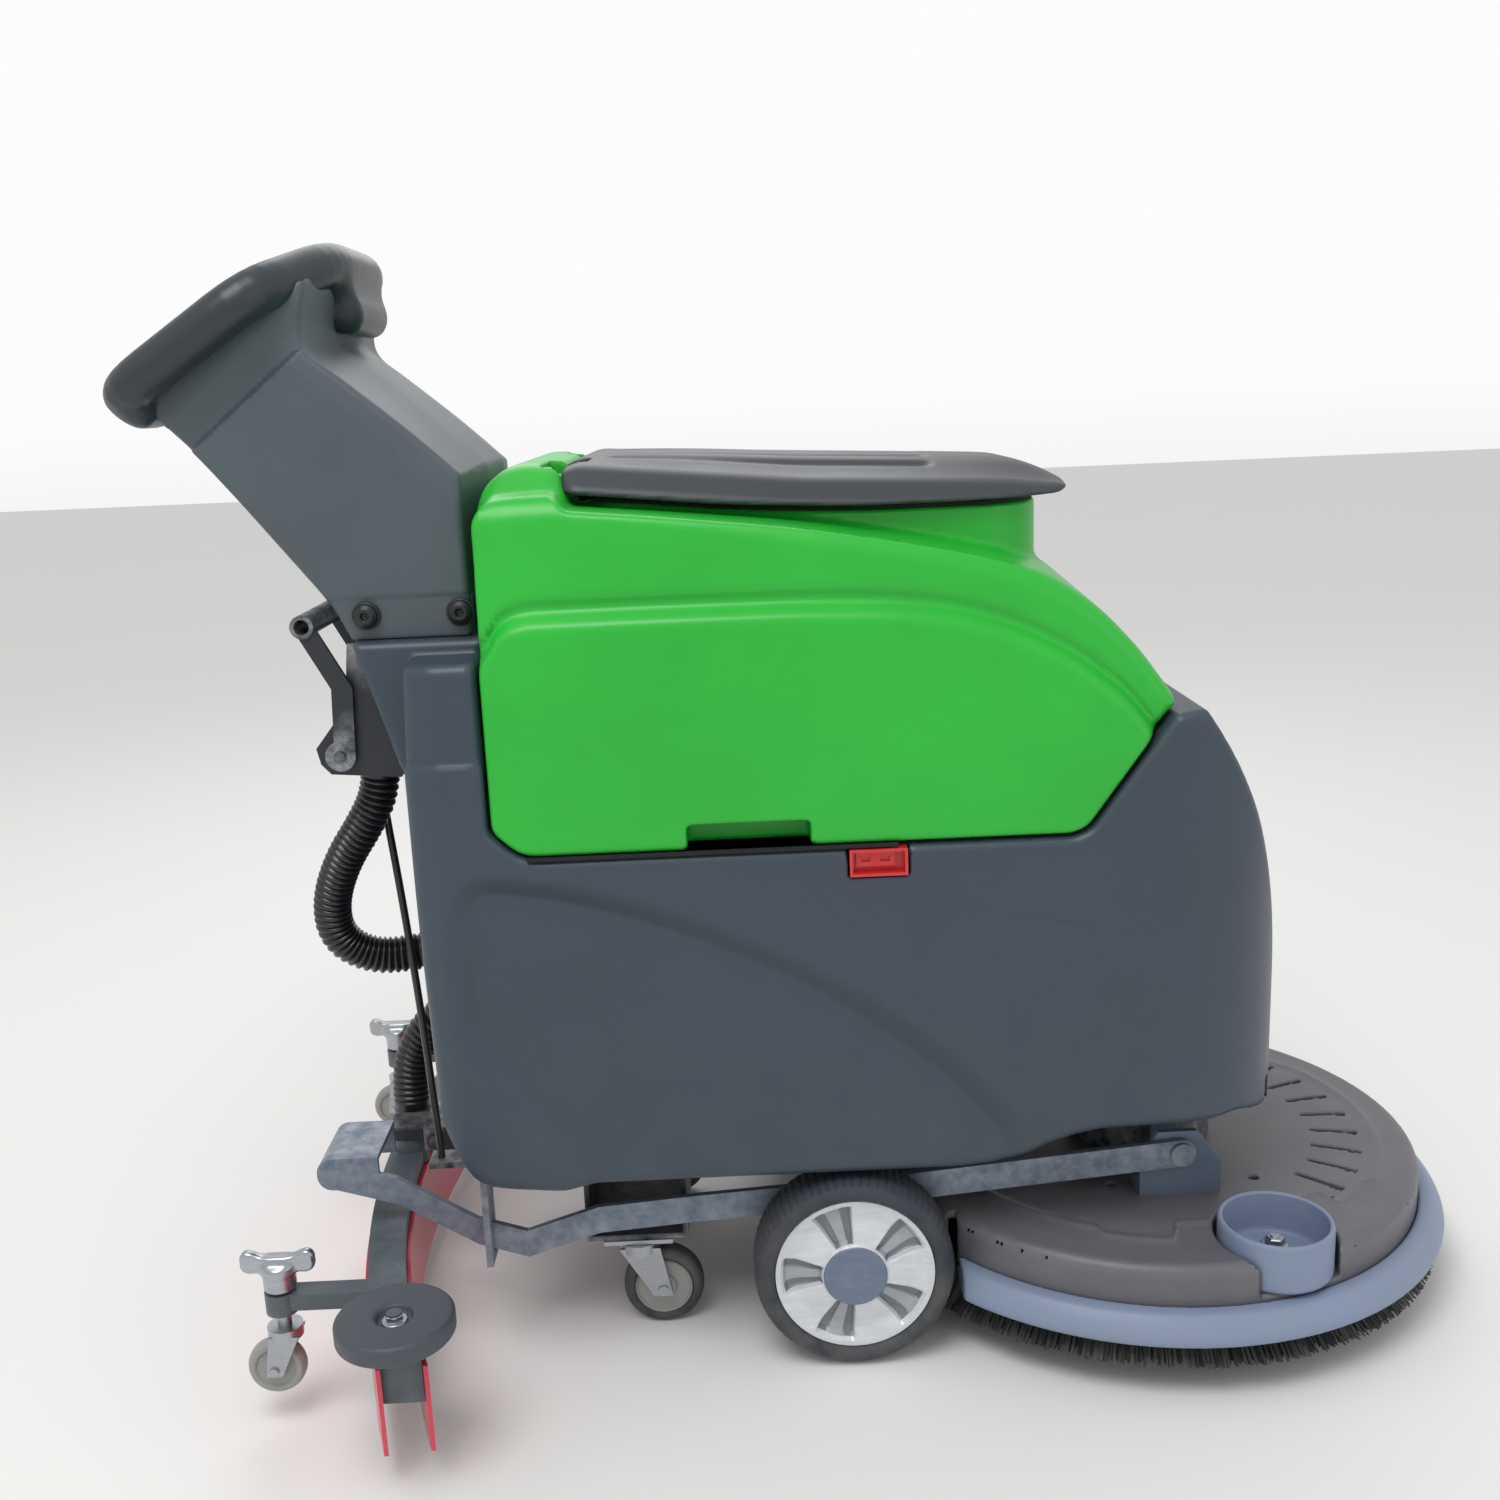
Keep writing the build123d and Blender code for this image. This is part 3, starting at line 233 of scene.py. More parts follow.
def startMaterial(name):
    material = bpy.data.materials.new(name)
    material.use_nodes = True
    tree = material.node_tree
    return material, tree, tree.nodes["Principled BSDF"]


def shade(colour, factor):
    return tuple(min(255, c * factor) for c in colour)


def mouldedPlastic(name, colour, rough, grain=900.0, bump=0.12, wear=0.4, dust=0.3, dustTop=0.4,
                   coat=0.0, spread=0.03):
    material, tree, shader = startMaterial(name)
    skin = useGroup(tree, "mouldGrain", Scale=grain)
    edge = useGroup(tree, "edgeWear", Amount=wear)
    marks = useGroup(tree, "scuffs", Density=wear)
    film = useGroup(tree, "floorDust", Top=dustTop, Amount=dust)
    base = mixColour(tree, skin.outputs["Mottle"], linear(shade(colour, 1 - spread)),
                     linear(shade(colour, 1 + spread)))
    rubbed = linear(tuple(c * 0.6 + 255 * 0.32 for c in colour))
    base = mixColour(tree, edge.outputs["Mask"], base, rubbed)
    base = mixColour(tree, mathNode(tree, "MULTIPLY", marks.outputs["Mask"], 0.35), base, rubbed)
    base = mixColour(tree, film.outputs["Mask"], base, linear((150, 144, 134)))
    wire(tree, base, shader.inputs["Base Color"])
    worn = mathNode(tree, "ADD", mathNode(tree, "MULTIPLY", skin.outputs["Mottle"], 0.10), rough - 0.05)
    worn = mathNode(tree, "ADD", worn, mathNode(tree, "MULTIPLY", film.outputs["Mask"], 0.3))
    worn = mathNode(tree, "ADD", worn, mathNode(tree, "MULTIPLY", marks.outputs["Mask"], 0.12), True)
    wire(tree, worn, shader.inputs["Roughness"])
    shader.inputs["Coat Weight"].default_value = coat
    shader.inputs["Coat Roughness"].default_value = 0.2
    relief = tree.nodes.new("ShaderNodeBump")
    relief.inputs["Strength"].default_value = bump
    relief.inputs["Distance"].default_value = 0.0006
    wire(tree, skin.outputs["Height"], relief.inputs["Height"])
    wire(tree, relief.outputs["Normal"], shader.inputs["Normal"])
    return material


def metal(name, colour, rough, shine=1.0, lines=220.0, wear=0.3, dust=0.25, dustTop=0.25):
    material, tree, shader = startMaterial(name)
    drawn = useGroup(tree, "drawnLines", Scale=lines)
    edge = useGroup(tree, "edgeWear", Amount=wear)
    film = useGroup(tree, "floorDust", Top=dustTop, Amount=dust)
    base = mixColour(tree, drawn.outputs["Tone"], linear(shade(colour, 0.94)), linear(shade(colour, 1.05)))
    base = mixColour(tree, edge.outputs["Mask"], base, linear((205, 208, 212)))
    base = mixColour(tree, film.outputs["Mask"], base, linear((120, 112, 100)))
    wire(tree, base, shader.inputs["Base Color"])
    bare = mathNode(tree, "ADD", mathNode(tree, "MULTIPLY", edge.outputs["Mask"], 1.0 - shine), shine)
    bare = mathNode(tree, "SUBTRACT", bare, mathNode(tree, "MULTIPLY", film.outputs["Mask"], 0.6), True)
    wire(tree, bare, shader.inputs["Metallic"])
    finish = mathNode(tree, "ADD", mathNode(tree, "MULTIPLY", drawn.outputs["Tone"], 0.16), rough - 0.08)
    finish = mathNode(tree, "ADD", finish, mathNode(tree, "MULTIPLY", film.outputs["Mask"], 0.35), True)
    wire(tree, finish, shader.inputs["Roughness"])
    relief = tree.nodes.new("ShaderNodeBump")
    relief.inputs["Strength"].default_value = 0.12
    relief.inputs["Distance"].default_value = 0.0003
    wire(tree, drawn.outputs["Height"], relief.inputs["Height"])
    wire(tree, relief.outputs["Normal"], shader.inputs["Normal"])
    return material


finishes = {
    "body_slate": ("plastic", dict(colour=(54, 66, 78), rough=0.4, wear=0.3, dust=0.12, dustTop=0.35)),
    "tank_green": ("plastic", dict(colour=(34, 176, 50), rough=0.34, wear=0.2, dust=0.0, spread=0.04)),
    "lid_dark": ("plastic", dict(colour=(50, 54, 60), rough=0.42, wear=0.3, dust=0.0, bump=0.25)),
    "column_grey": ("plastic", dict(colour=(76, 86, 92), rough=0.46, wear=0.3, dust=0.0, spread=0.05)),
    "grip_dark": ("plastic", dict(colour=(42, 50, 56), rough=0.34, wear=0.25, dust=0.0, bump=0.2)),
    "panel_black": ("plastic", dict(colour=(30, 32, 35), rough=0.4, wear=0.2, dust=0.0, bump=0.2)),
    "deck_grey": ("plastic", dict(colour=(98, 97, 104), rough=0.36, wear=0.35, dust=0.25, dustTop=0.3)),
    "skirt_blue": ("plastic", dict(colour=(128, 142, 168), rough=0.4, wear=0.25, dust=0.3, dustTop=0.16)),
    "tyre_rubber": ("plastic", dict(colour=(44, 50, 60), rough=0.68, wear=0.1, dust=0.5, dustTop=0.2,
                                    bump=0.35, grain=1500.0)),
    "caster_grey": ("plastic", dict(colour=(70, 76, 84), rough=0.5, wear=0.2, dust=0.4, dustTop=0.15)),
    "wheel_pale": ("plastic", dict(colour=(150, 153, 150), rough=0.5, wear=0.2, dust=0.4, dustTop=0.15)),
    "bristle_black": ("plastic", dict(colour=(26, 27, 30), rough=0.5, wear=0.1, dust=0.35, dustTop=0.1)),
    "blade_red": ("plastic", dict(colour=(214, 42, 74), rough=0.3, wear=0.15, dust=0.15, dustTop=0.15,
                                  coat=0.3, spread=0.05)),
    "hose_black": ("plastic", dict(colour=(24, 25, 28), rough=0.28, wear=0.25, dust=0.1, coat=0.2)),
    "socket_red": ("plastic", dict(colour=(205, 30, 34), rough=0.3, wear=0.3, dust=0.0, coat=0.2)),
    "foam_black": ("plastic", dict(colour=(28, 28, 30), rough=0.9, wear=0.0, dust=0.0, bump=0.6)),
    "hub_silver": ("metal", dict(colour=(214, 217, 220), rough=0.34, shine=0.2, wear=0.2, dust=0.06)),
    "steel_grey": ("metal", dict(colour=(104, 117, 136), rough=0.4, shine=0.25, wear=0.5, dust=0.12)),
    "zinc": ("metal", dict(colour=(176, 180, 186), rough=0.3, shine=1.0)),
    "black_steel": ("metal", dict(colour=(48, 51, 56), rough=0.42, shine=0.3, wear=0.6)),
    "brass_metal": ("metal", dict(colour=(190, 160, 92), rough=0.3, shine=1.0)),
}
materials = {}
for finish, (kind, values) in finishes.items():
    materials[finish] = (mouldedPlastic if kind == "plastic" else metal)(finish, **values)


def gaugeGlass():
    # dark window with a row of charge segments behind it
    material, tree, shader = startMaterial("gauge_glass")
    place = tree.nodes.new("ShaderNodeTexCoord").outputs["Object"]
    parts = tree.nodes.new("ShaderNodeSeparateXYZ")
    wire(tree, place, parts.inputs[0])
    bars = mathNode(tree, "SINE", mathNode(tree, "MULTIPLY", parts.outputs["Y"], 2 * math.pi / 0.008))
    lit = mathNode(tree, "GREATER_THAN", bars, 0.1)
    smudge = rampNode(tree, noiseNode(tree, place, 90.0, 4.0), 0.4, 0.7, 0.08, 0.3)
    base = mixColour(tree, lit, linear((14, 16, 18)), linear((46, 60, 40)))
    wire(tree, base, shader.inputs["Base Color"])
    wire(tree, smudge, shader.inputs["Roughness"])
    shader.inputs["Coat Weight"].default_value = 0.8
    return material


materials["gauge_glass"] = gaugeGlass()
for subpart in frame["record"]["subparts"]:
    node = frame["nodes"][subpart["node"]]
    node.data.materials.clear()
    node.data.materials.append(materials[subpart["material_slot"]])
print("materials:", len(materials))

# ---- outlines, fields and nets for the moulded shells ----

def softOutline(points, cut, closed=True):
    # each corner is swapped for a short curve that starts "cut" metres before it
    pts = [np.array(p[:2], float) for p in points]
    cuts = [p[2] if len(p) > 2 else cut for p in points]
    count = len(pts)
    line = []
    for i, here in enumerate(pts):
        if not closed and i in (0, count - 1):
            line.append(here)
            continue
        before, after = pts[i - 1], pts[(i + 1) % count]
        runIn, runOut = np.linalg.norm(here - before), np.linalg.norm(after - here)
        reach = min(cuts[i], 0.48 * runIn, 0.48 * runOut)
        if reach < 1e-5:
            line.append(here)
            continue
        start = here + (before - here) / runIn * reach
        end = here + (after - here) / runOut * reach
        for t in np.linspace(0, 1, 6):
            line.append((1 - t) ** 2 * start + 2 * t * (1 - t) * here + t * t * end)
    return np.array(line)


def outlineField(points, closed=True):
    # signed distance to an outline in two coordinates, negative inside
    ends = np.roll(points, -1, axis=0) if closed else points[1:]
    starts = points if closed else points[:-1]

    def at(u, v):
        u, v = np.broadcast_arrays(np.asarray(u, float), np.asarray(v, float))
        best = np.full(u.shape, 1e9)
        within = np.zeros(u.shape, bool)
        for (ax, ay), (bx, by) in zip(starts, ends):
            ex, ey = bx - ax, by - ay
            t = np.clip(((u - ax) * ex + (v - ay) * ey) / (ex * ex + ey * ey + 1e-18), 0, 1)
            best = np.minimum(best, (u - ax - t * ex) ** 2 + (v - ay - t * ey) ** 2)
            if closed:
                crossing = (ay > v) != (by > v)
                within ^= crossing & (u < ax + (v - ay) / (by - ay + 1e-15) * ex)
        return np.where(within, -1.0, 1.0) * np.sqrt(best)
    return at


def roundMax(a, b, r):
    # both at once, with a rounded edge of radius r
    a, b = np.broadcast_arrays(a, b)
    return np.minimum(np.maximum(a, b), -r) + np.hypot(np.maximum(a + r, 0), np.maximum(b + r, 0))


def roundMin(a, b, r):
    return -roundMax(-np.asarray(a), -np.asarray(b), r)


def ease(t):
    t = np.clip(t, 0, 1)
    return t * t * (3 - 2 * t)


def boxField(x, y, z, low, high, r=0.003):
    # a rounded box between two corners
    parts = []
    for value, a, b in zip((x, y, z), low, high):
        parts.append(np.abs(value - (a + b) / 2) - (b - a) / 2)
    return roundMax(roundMax(parts[0], parts[1], r), parts[2], r)


def rodField(x, y, z, middle, radius, low, high, axis="z", r=0.002):
    if axis == "z":
        across = np.hypot(x - middle[0], y - middle[1]) - radius
        along = np.abs(z - (low + high) / 2) - (high - low) / 2
    else:
        across = np.hypot(x - middle[0], z - middle[1]) - radius
        along = np.abs(y - (low + high) / 2) - (high - low) / 2
    return roundMax(across, along, r)


def netMesh(name, field, low, high, step, material, projections=3):
    # a closed net on the zero surface of a field, drawn onto it and shaded from its slope
    axes = [np.arange(a - 1.5 * step, b + 2.5 * step, step) for a, b in zip(low, high)]
    gx, gy, gz = np.ix_(*axes)
    values = np.broadcast_to(field(gx, gy, gz), tuple(len(a) for a in axes))
    inside = values < 0
    shape = tuple(n - 1 for n in inside.shape)
    total = np.zeros(shape, np.int8)
    for i in (0, 1):
        for j in (0, 1):
            for k in (0, 1):
                total += inside[i:i + shape[0], j:j + shape[1], k:k + shape[2]]
    mixed = (total > 0) & (total < 8)
    cells = np.argwhere(mixed)
    index = np.full(shape, -1, np.int64)
    index[mixed] = np.arange(len(cells))
    summed = np.zeros((len(cells), 3))
    hits = np.zeros(len(cells))
    corners = [(i, j, k) for i in (0, 1) for j in (0, 1) for k in (0, 1)]
    for a in corners:
        for axis in range(3):
            if a[axis]:
                continue
            b = tuple(v + (n == axis) for n, v in enumerate(a))
            va = values[tuple((cells + a).T)]
            vb = values[tuple((cells + b).T)]
            crossing = (va < 0) != (vb < 0)
            t = np.where(crossing, va / np.where(crossing, va - vb, 1), 0)
            place = np.array(a, float)[None] + t[:, None] * (np.array(b) - np.array(a))[None]
            summed += np.where(crossing[:, None], place, 0)
            hits += crossing
    start = np.array([axes[0][0], axes[1][0], axes[2][0]])
    points = start + step * (cells + summed / hits[:, None])
    quads = []
    for axis in range(3):
        one, two = (axis + 1) % 3, (axis + 2) % 3
        first = [slice(None)] * 3
        second = [slice(None)] * 3
        first[axis], second[axis] = slice(0, -1), slice(1, None)
        a, b = inside[tuple(first)], inside[tuple(second)]
        changed = np.argwhere(a != b)
        changed = changed[(changed[:, one] > 0) & (changed[:, two] > 0)]
        changed = changed[(changed[:, one] < shape[one]) & (changed[:, two] < shape[two])]
        outward = a[tuple(changed.T)]
        ring = []
        for du, dv in ((-1, -1), (0, -1), (0, 0), (-1, 0)):
            cell = changed.copy()
            cell[:, one] += du
            cell[:, two] += dv
            ring.append(index[tuple(cell.T)])
        ring = np.stack(ring, 1)
        ring[~outward] = ring[~outward][:, ::-1]
        quads.append(ring)
    quads = np.concatenate(quads)

    def slope(p, h):
        out = np.zeros_like(p)
        for axis in range(3):
            ahead, behind = p.copy(), p.copy()
            ahead[:, axis] += h
            behind[:, axis] -= h
            out[:, axis] = field(*ahead.T) - field(*behind.T)
        return out / (2 * h)

    for _ in range(projections):
        grade = slope(points, 0.15 * step)
        size = np.maximum((grade ** 2).sum(1), 0.2)
        move = field(*points.T)[:, None] * grade / size[:, None]
        length = np.linalg.norm(move, axis=1, keepdims=True)
        points -= move * np.minimum(1, 0.6 * step / np.maximum(length, 1e-9))
    normals = slope(points, 0.3 * step)
    normals /= np.maximum(np.linalg.norm(normals, axis=1, keepdims=True), 1e-9)
    mesh = bpy.data.meshes.new(name)
    mesh.from_pydata(points.tolist(), [], quads.tolist())
    mesh.polygons.foreach_set("use_smooth", [True] * len(quads))
    mesh.normals_split_custom_set_from_vertices(normals.tolist())
    mesh.materials.append(materials[material])
    piece = bpy.data.objects.new(name, mesh)
    bpy.context.scene.collection.objects.link(piece)
    print(name, "net:", len(points), "points")
    return piece


def scaled(points):
    return [tuple(v * mm for v in p) for p in points]


def lineHeight(points, cut):
    # height of a soft open line over x
    line = softOutline(scaled(points), cut, closed=False)
    return lambda x: np.interp(x, line[:, 0], line[:, 1])


# ---- body ----
bodyLow, bodyHigh = placeOf("body_shell")
body = {
    "step": 0.0042, "half": bodyHigh[1], "edge": 0.011, "columnHalf": 0.165, "rearChamfer": 0.012,
    "side": scaled([(-325, 194, 30), (-262, 186), (100, 186), (136, 190), (163, 208, 12),
                    (205, 222), (340, 226, 6), (392, 206, 6), (396, 304), (390, 362), (377, 428),
                    (357, 493), (329, 548), (300, 592, 5), (275, 588, 4), (206, 494, 8), (191, 488, 6),
                    (-267, 488, 18), (-293, 513, 6), (-293, 655, 8), (-355, 655, 10),
                    (-360, 566, 10), (-360, 433), (-357, 316), (-355, 251), (-346, 227, 22)]),
    "column": scaled([(-359, 535), (-372, 560), (-403, 668, 4), (-293, 668, 4), (-293, 535)]),
    "panel": scaled([(-312, 461, 22), (-254, 453), (-188, 436), (-123, 411), (-41, 371), (26, 327),
                     (85, 278), (136, 220), (136, 150, 0), (-200, 150, 0), (-221, 180, 0),
                     (-252, 239), (-298, 306, 26), (-314, 339, 24)]),
    "panelDeep": 0.0125, "panelBand": 0.022,
    "flap": scaled([(136, 424, 7), (208, 410, 7), (208, 379, 7), (136, 376, 7)]),
    "topInset": 0.005,
}
bodySide = outlineField(softOutline(body["side"], 0.05))
columnSide = outlineField(softOutline(body["column"], 0.01))
panelEdge = outlineField(softOutline(body["panel"], 0.05))
flapEdge = outlineField(softOutline(body["flap"], 0.007))
socketLow, socketHigh = placeOf("charging_socket")


def bodyPlan(x, y, half, front, cornerR, k=0.0):
    # seen from above: straight sides, a bowed front and large front corners
    bow = front - 0.006 * (y / half) ** 2
    pastX = np.maximum(x - (bow - cornerR), 0)
    pastY = np.maximum(np.abs(y) - (half - cornerR), 0)
    corner = np.hypot(pastX, pastY) - cornerR
    return np.maximum(np.maximum(np.abs(y) - half, x - bow), np.where(
        (x > bow - cornerR) & (np.abs(y) > half - cornerR), corner, -1.0))


def crispRamp(t, soft=0.12):
    # straight slope from 0 to 1 with short bends at its ends
    low = np.where(t < soft, (t + soft) ** 2 / (4 * soft), t)
    return np.where(t > 1 - soft, 1 - (1 + soft - t) ** 2 / (4 * soft), np.where(t < -soft, 0, low))


def bodyField(x, y, z):
    side = bodySide(x, z)
    slide = np.clip(panelEdge(x, z) / body["panelBand"], -0.12, 1.12)
    inset = body["panelDeep"] * (1 - crispRamp(slide))
    inset = inset * ease((0.24 - x) / 0.1)
    inset = inset + body["rearChamfer"] * ease((-0.326 - x) / 0.034)
    upper = ease((z - (0.567 + 0.0)) / 0.007) * ease((-0.288 - x) / 0.006)
    inset = inset + body["topInset"] * upper
    flap = flapEdge(x, z)
    inset = inset + 0.0012 * ease(-flap / 0.004) + 0.0022 * np.exp(-(flap / 0.0022) ** 2)
    face = np.abs(y) - (body["half"] - inset)
    plan = bodyPlan(x, y, body["half"], bodyHigh[0], 0.118)
    shell = roundMax(roundMax(side, face, body["edge"]), plan, 0.006)
    column = roundMax(columnSide(x, z), np.abs(y) - body["columnHalf"], 0.008)
    shell = roundMin(shell, column, 0.004)
    stub = boxField(x, y, z, (-0.398, -0.1425, 0.64), (-0.301, 0.1425, 0.704), 0.003)
    shell = np.minimum(shell, stub)
    bay = boxField(x, y, z, (-0.278, -0.2035, 0.201), (0.045, 0.2035, 0.56), 0.008)
    well = boxField(x, y, z, (0.012, -0.158, 0.14), (0.381, 0.158, 0.2395), 0.006)
    dome = rodField(x, y, z, (0.305, 0.0), 0.0765, 0.2, 0.3235)
    neckHole = boxField(x, y, z, (-0.345, -0.11, 0.23), (-0.31, 0.11, 0.73), 0.004)
    filler = rodField(x, y, z, (0.12, 0.0), 0.0325, 0.44, 0.52)
    socketHole = boxField(x, y, z, (socketLow[0] - 0.0015, -0.24, socketLow[2] - 0.0015),
                          (socketHigh[0] + 0.0015, socketHigh[1] + 0.0005, 0.52), 0.002)
    holes = np.minimum(np.minimum(bay, well), np.minimum(dome, neckHole))
    holes = np.minimum(holes, np.minimum(filler, socketHole))
    return roundMax(shell, -holes, 0.002)


bodyPiece = netMesh("bodyMoulding", bodyField, bodyLow, bodyHigh, body["step"], "body_slate")
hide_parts("body_shell")
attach(bodyPiece, "chassis")

# ---- recovery tank ----
tankLow, tankHigh = placeOf("recovery_tank")
tank = {
    "step": 0.0042, "wall": 0.006,
    "side": scaled([(-290, 513, 8), (-266, 491, 14), (192, 491, 8), (204, 497, 8), (272, 591, 8),
                    (299, 595, 4), (285, 619), (248, 661), (214, 694), (190, 714), (134, 726),
                    (53, 741), (-27, 755), (-214, 773, 5), (-222, 807, 8), (-262, 809, 16),
                    (-286, 790, 14), (-290, 766, 12)]),
    "shoulder": [(-300, 766), (-265, 772), (-217, 773), (-154, 766), (-106, 758), (-27, 745),
                 (53, 731), (134, 711), (183, 690), (216, 667), (249, 632), (270, 603), (300, 560)],
    "lip": [(-300, 655), (-284, 676), (-272, 697), (-252, 704), (-93, 704), (-12, 704), (52, 701),
            (100, 695), (148, 680), (197, 656), (238, 625), (263, 592), (300, 540)],
    "ledge": [(-300, 640), (-282, 655), (-270, 675), (-250, 680), (-150, 681), (-30, 680), (50, 676),
              (98, 668), (146, 652), (194, 624), (235, 588), (252, 566), (300, 500)],
    "lipHalf": 0.2055, "panelHalf": tankHigh[1], "shoulderHalf": 0.198,
    "collar": (-0.2, 0.183, 0.14), "rim": [(-210, 776), (-155, 771), (-90, 764), (17, 758.5),
                                           (140, 758.5), (195, 761)],
}
tankSide = outlineField(softOutline(tank["side"], 0.04))
shoulderLine, lipLine = lineHeight(tank["shoulder"], 0.03), lineHeight(tank["lip"], 0.02)
ledgeLine, rimLine = lineHeight(tank["ledge"], 0.02), lineHeight(tank["rim"], 0.03)


def tankOuter(x, y, z):
    shoulderZ, lipZ, ledgeZ = shoulderLine(x), lipLine(x), ledgeLine(x)
    rise = ease((z - ledgeZ + 0.006) / (lipZ - ledgeZ + 0.004))
    half = tank["panelHalf"] - (tank["panelHalf"] - tank["lipHalf"]) * rise
    groove = np.exp(-((z - (ledgeZ * 0.45 + lipZ * 0.55)) / 0.0075) ** 2)
    half = half - 0.006 * groove
    half = half - (tank["lipHalf"] - tank["shoulderHalf"]) * np.clip((z - lipZ) / 0.075, 0, 1)
    face = (np.abs(y) - half) * 0.93
    span = np.clip((tank["shoulderHalf"] - np.abs(y)) / 0.12, -0.6, 1)
    topZ = shoulderZ + 0.009 + 0.022 * span * ease((0.3 - x) / 0.2)
    ear = ease((-0.205 - x) / 0.022) * ease((0.172 - np.abs(y)) / 0.045)
    topZ = topZ + 0.03 * ear
    top = (z - topZ) * 0.8
    plan = bodyPlan(x, y, tank["panelHalf"], bodyHigh[0], 0.118)
    shell = roundMax(tankSide(x, z), face, 0.006)
    shell = roundMax(shell, top, 0.014)
    return roundMax(shell, plan, 0.004)


def collarPlan(x, y, grow):
    x0, x1, half = tank["collar"][0] - grow, tank["collar"][1] + grow, tank["collar"][2] + grow
    r = np.where(x > 0, 0.06, 0.03)
    dx = np.abs(x - (x0 + x1) / 2) - (x1 - x0) / 2 + r
    dy = np.abs(y) - half + r
    return np.hypot(np.maximum(dx, 0), np.maximum(dy, 0)) + np.minimum(np.maximum(dx, dy), 0) - r


def tankField(x, y, z):
    outer = tankOuter(x, y, z)
    rimZ = rimLine(x)
    neck = roundMax(collarPlan(x, y, 0.0), np.maximum(z - rimZ, 0.69 - z), 0.0035)
    shell = roundMin(outer, neck, 0.007)
    notchLow, notchHigh = (-0.129, -0.24, 0.47), (-0.027, -0.188, 0.5128)
    pocket = boxField(x, y, z, (-0.135, -0.24, 0.47), (-0.021, -0.182, 0.519), 0.004)
    shell = roundMax(shell, -boxField(x, y, z, notchLow, notchHigh, 0.005), 0.0025)
    hollow = np.maximum(tankSide(x, z) + 0.008, np.abs(y) - 0.186)
    hollow = np.maximum(hollow, (z - shoulderLine(x)) * 0.9 - 0.001)
    hollow = np.maximum(np.maximum(hollow, bodyPlan(x, y, 0.2, bodyHigh[0], 0.1) + 0.008), -pocket)
    mouth = roundMax(collarPlan(x, y, -0.012), 0.68 - z, 0.004)
    shell = roundMax(shell, -np.minimum(hollow, mouth), 0.001)
    # recesses for the hinge of the lid
    for side in (-1, 1):
        cut = boxField(x, y, z, (-0.2365, side * 0.106 - 0.036, 0.7785),
                       (-0.19, side * 0.106 + 0.036, 0.84), 0.003)
        shell = roundMax(shell, -cut, 0.002)
        lug = boxField(x, y, z, (-0.236, side * 0.106 - 0.007, 0.765),
                       (-0.212, side * 0.106 + 0.007, 0.797), 0.003)
        shell = np.minimum(shell, lug)
    return shell


tankPiece = netMesh("tankMoulding", tankField, tankLow, tankHigh, tank["step"], "tank_green")
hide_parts("recovery_tank")
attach(tankPiece, "tank")

# ---- lid ----
lidLow, lidHigh = placeOf("tank_lid")
lid = {
    "step": 0.0032, "half": lidHigh[1], "wall": 0.004,
    "side": scaled([(-222, 783, 3), (-155, 776), (-90, 769), (17, 763), (140, 763), (195, 766, 5),
                    (214, 774, 6), (210, 782, 8), (196, 788, 10), (165, 794), (77, 799), (-107, 808),
                    (-205, 811, 10), (-222, 803, 6)]),
    "topLine": [(-222, 802), (-209, 805), (-22, 787), (146, 779), (214, 771)],
    "ribs": (-0.09, -0.052), "ribFrom": -0.192, "ribTo": 0.098,
}
lidSide = outlineField(softOutline(lid["side"], 0.03))
lidUpper = lineHeight(lid["topLine"], 0.02)


def lidField(x, y, z):
    plan = collarLike(x, y, lidLow[0], lidHigh[0], lid["half"])
    side = lidSide(x, z)
    # the skirt leans in from the lower edge to the edge of the top face
    lean = (np.abs(y) - lid["half"]) + (z - lidUpper(x) + 0.02) * 1.15
    crown = z - (lidUpper(x) + 0.001 + 0.02 * ease((0.135 - np.abs(y)) / 0.1))
    noseLean = (x - lidHigh[0]) + (z - 0.77) * 1.6
    shell = roundMax(roundMax(side, plan, 0.004), lean * 0.66, 0.006)
    shell = roundMax(roundMax(shell, crown * 0.93, 0.006), noseLean * 0.53, 0.008)
    along = ease((x - lid["ribFrom"]) / 0.012) * ease((lid["ribTo"] - x) / 0.012)
    for ribY in (-0.084, -0.05, 0.05, 0.084):
        wave = np.exp(-((y - ribY) / 0.0075) ** 2) * along
        shell = shell + 0.0036 * wave
    inner = roundMax(roundMax(side + 0.007, plan + 0.013, 0.003), lean * 0.66 + 0.0085, 0.003)
    inner = np.maximum(inner, crown * 0.93 + 0.0115)
    under = roundMax(collarLike(x, y, -0.208, 0.196, 0.149), z - 0.772, 0.003)
    under = np.maximum(under, np.maximum(lean * 0.66 + 0.006, noseLean * 0.53 + 0.006))
    shell = roundMax(shell, -np.minimum(inner, under), 0.001)
    for hingeY in (-0.106, 0.106):
        gap = boxField(x, y, z, (-0.24, hingeY - 0.008, 0.7), (-0.2, hingeY + 0.008, 0.85), 0.002)
        shell = roundMax(shell, -gap, 0.0015)
    return shell


def collarLike(x, y, x0, x1, half):
    r = np.where(x > 0, 0.07, 0.018)
    dx = np.abs(x - (x0 + x1) / 2) - (x1 - x0) / 2 + r
    dy = np.abs(y) - half + r
    return np.hypot(np.maximum(dx, 0), np.maximum(dy, 0)) + np.minimum(np.maximum(dx, dy), 0) - r


lidPiece = netMesh("lidMoulding", lidField, lidLow, lidHigh, lid["step"], "lid_dark")
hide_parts("tank_lid")
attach(lidPiece, "lid")

# ---- handle column ----
neckLow, neckHigh = placeOf("neck_column")
tilt = math.radians(33.5)
grip = {"x": -0.576, "z": 0.870, "panel": -0.010}


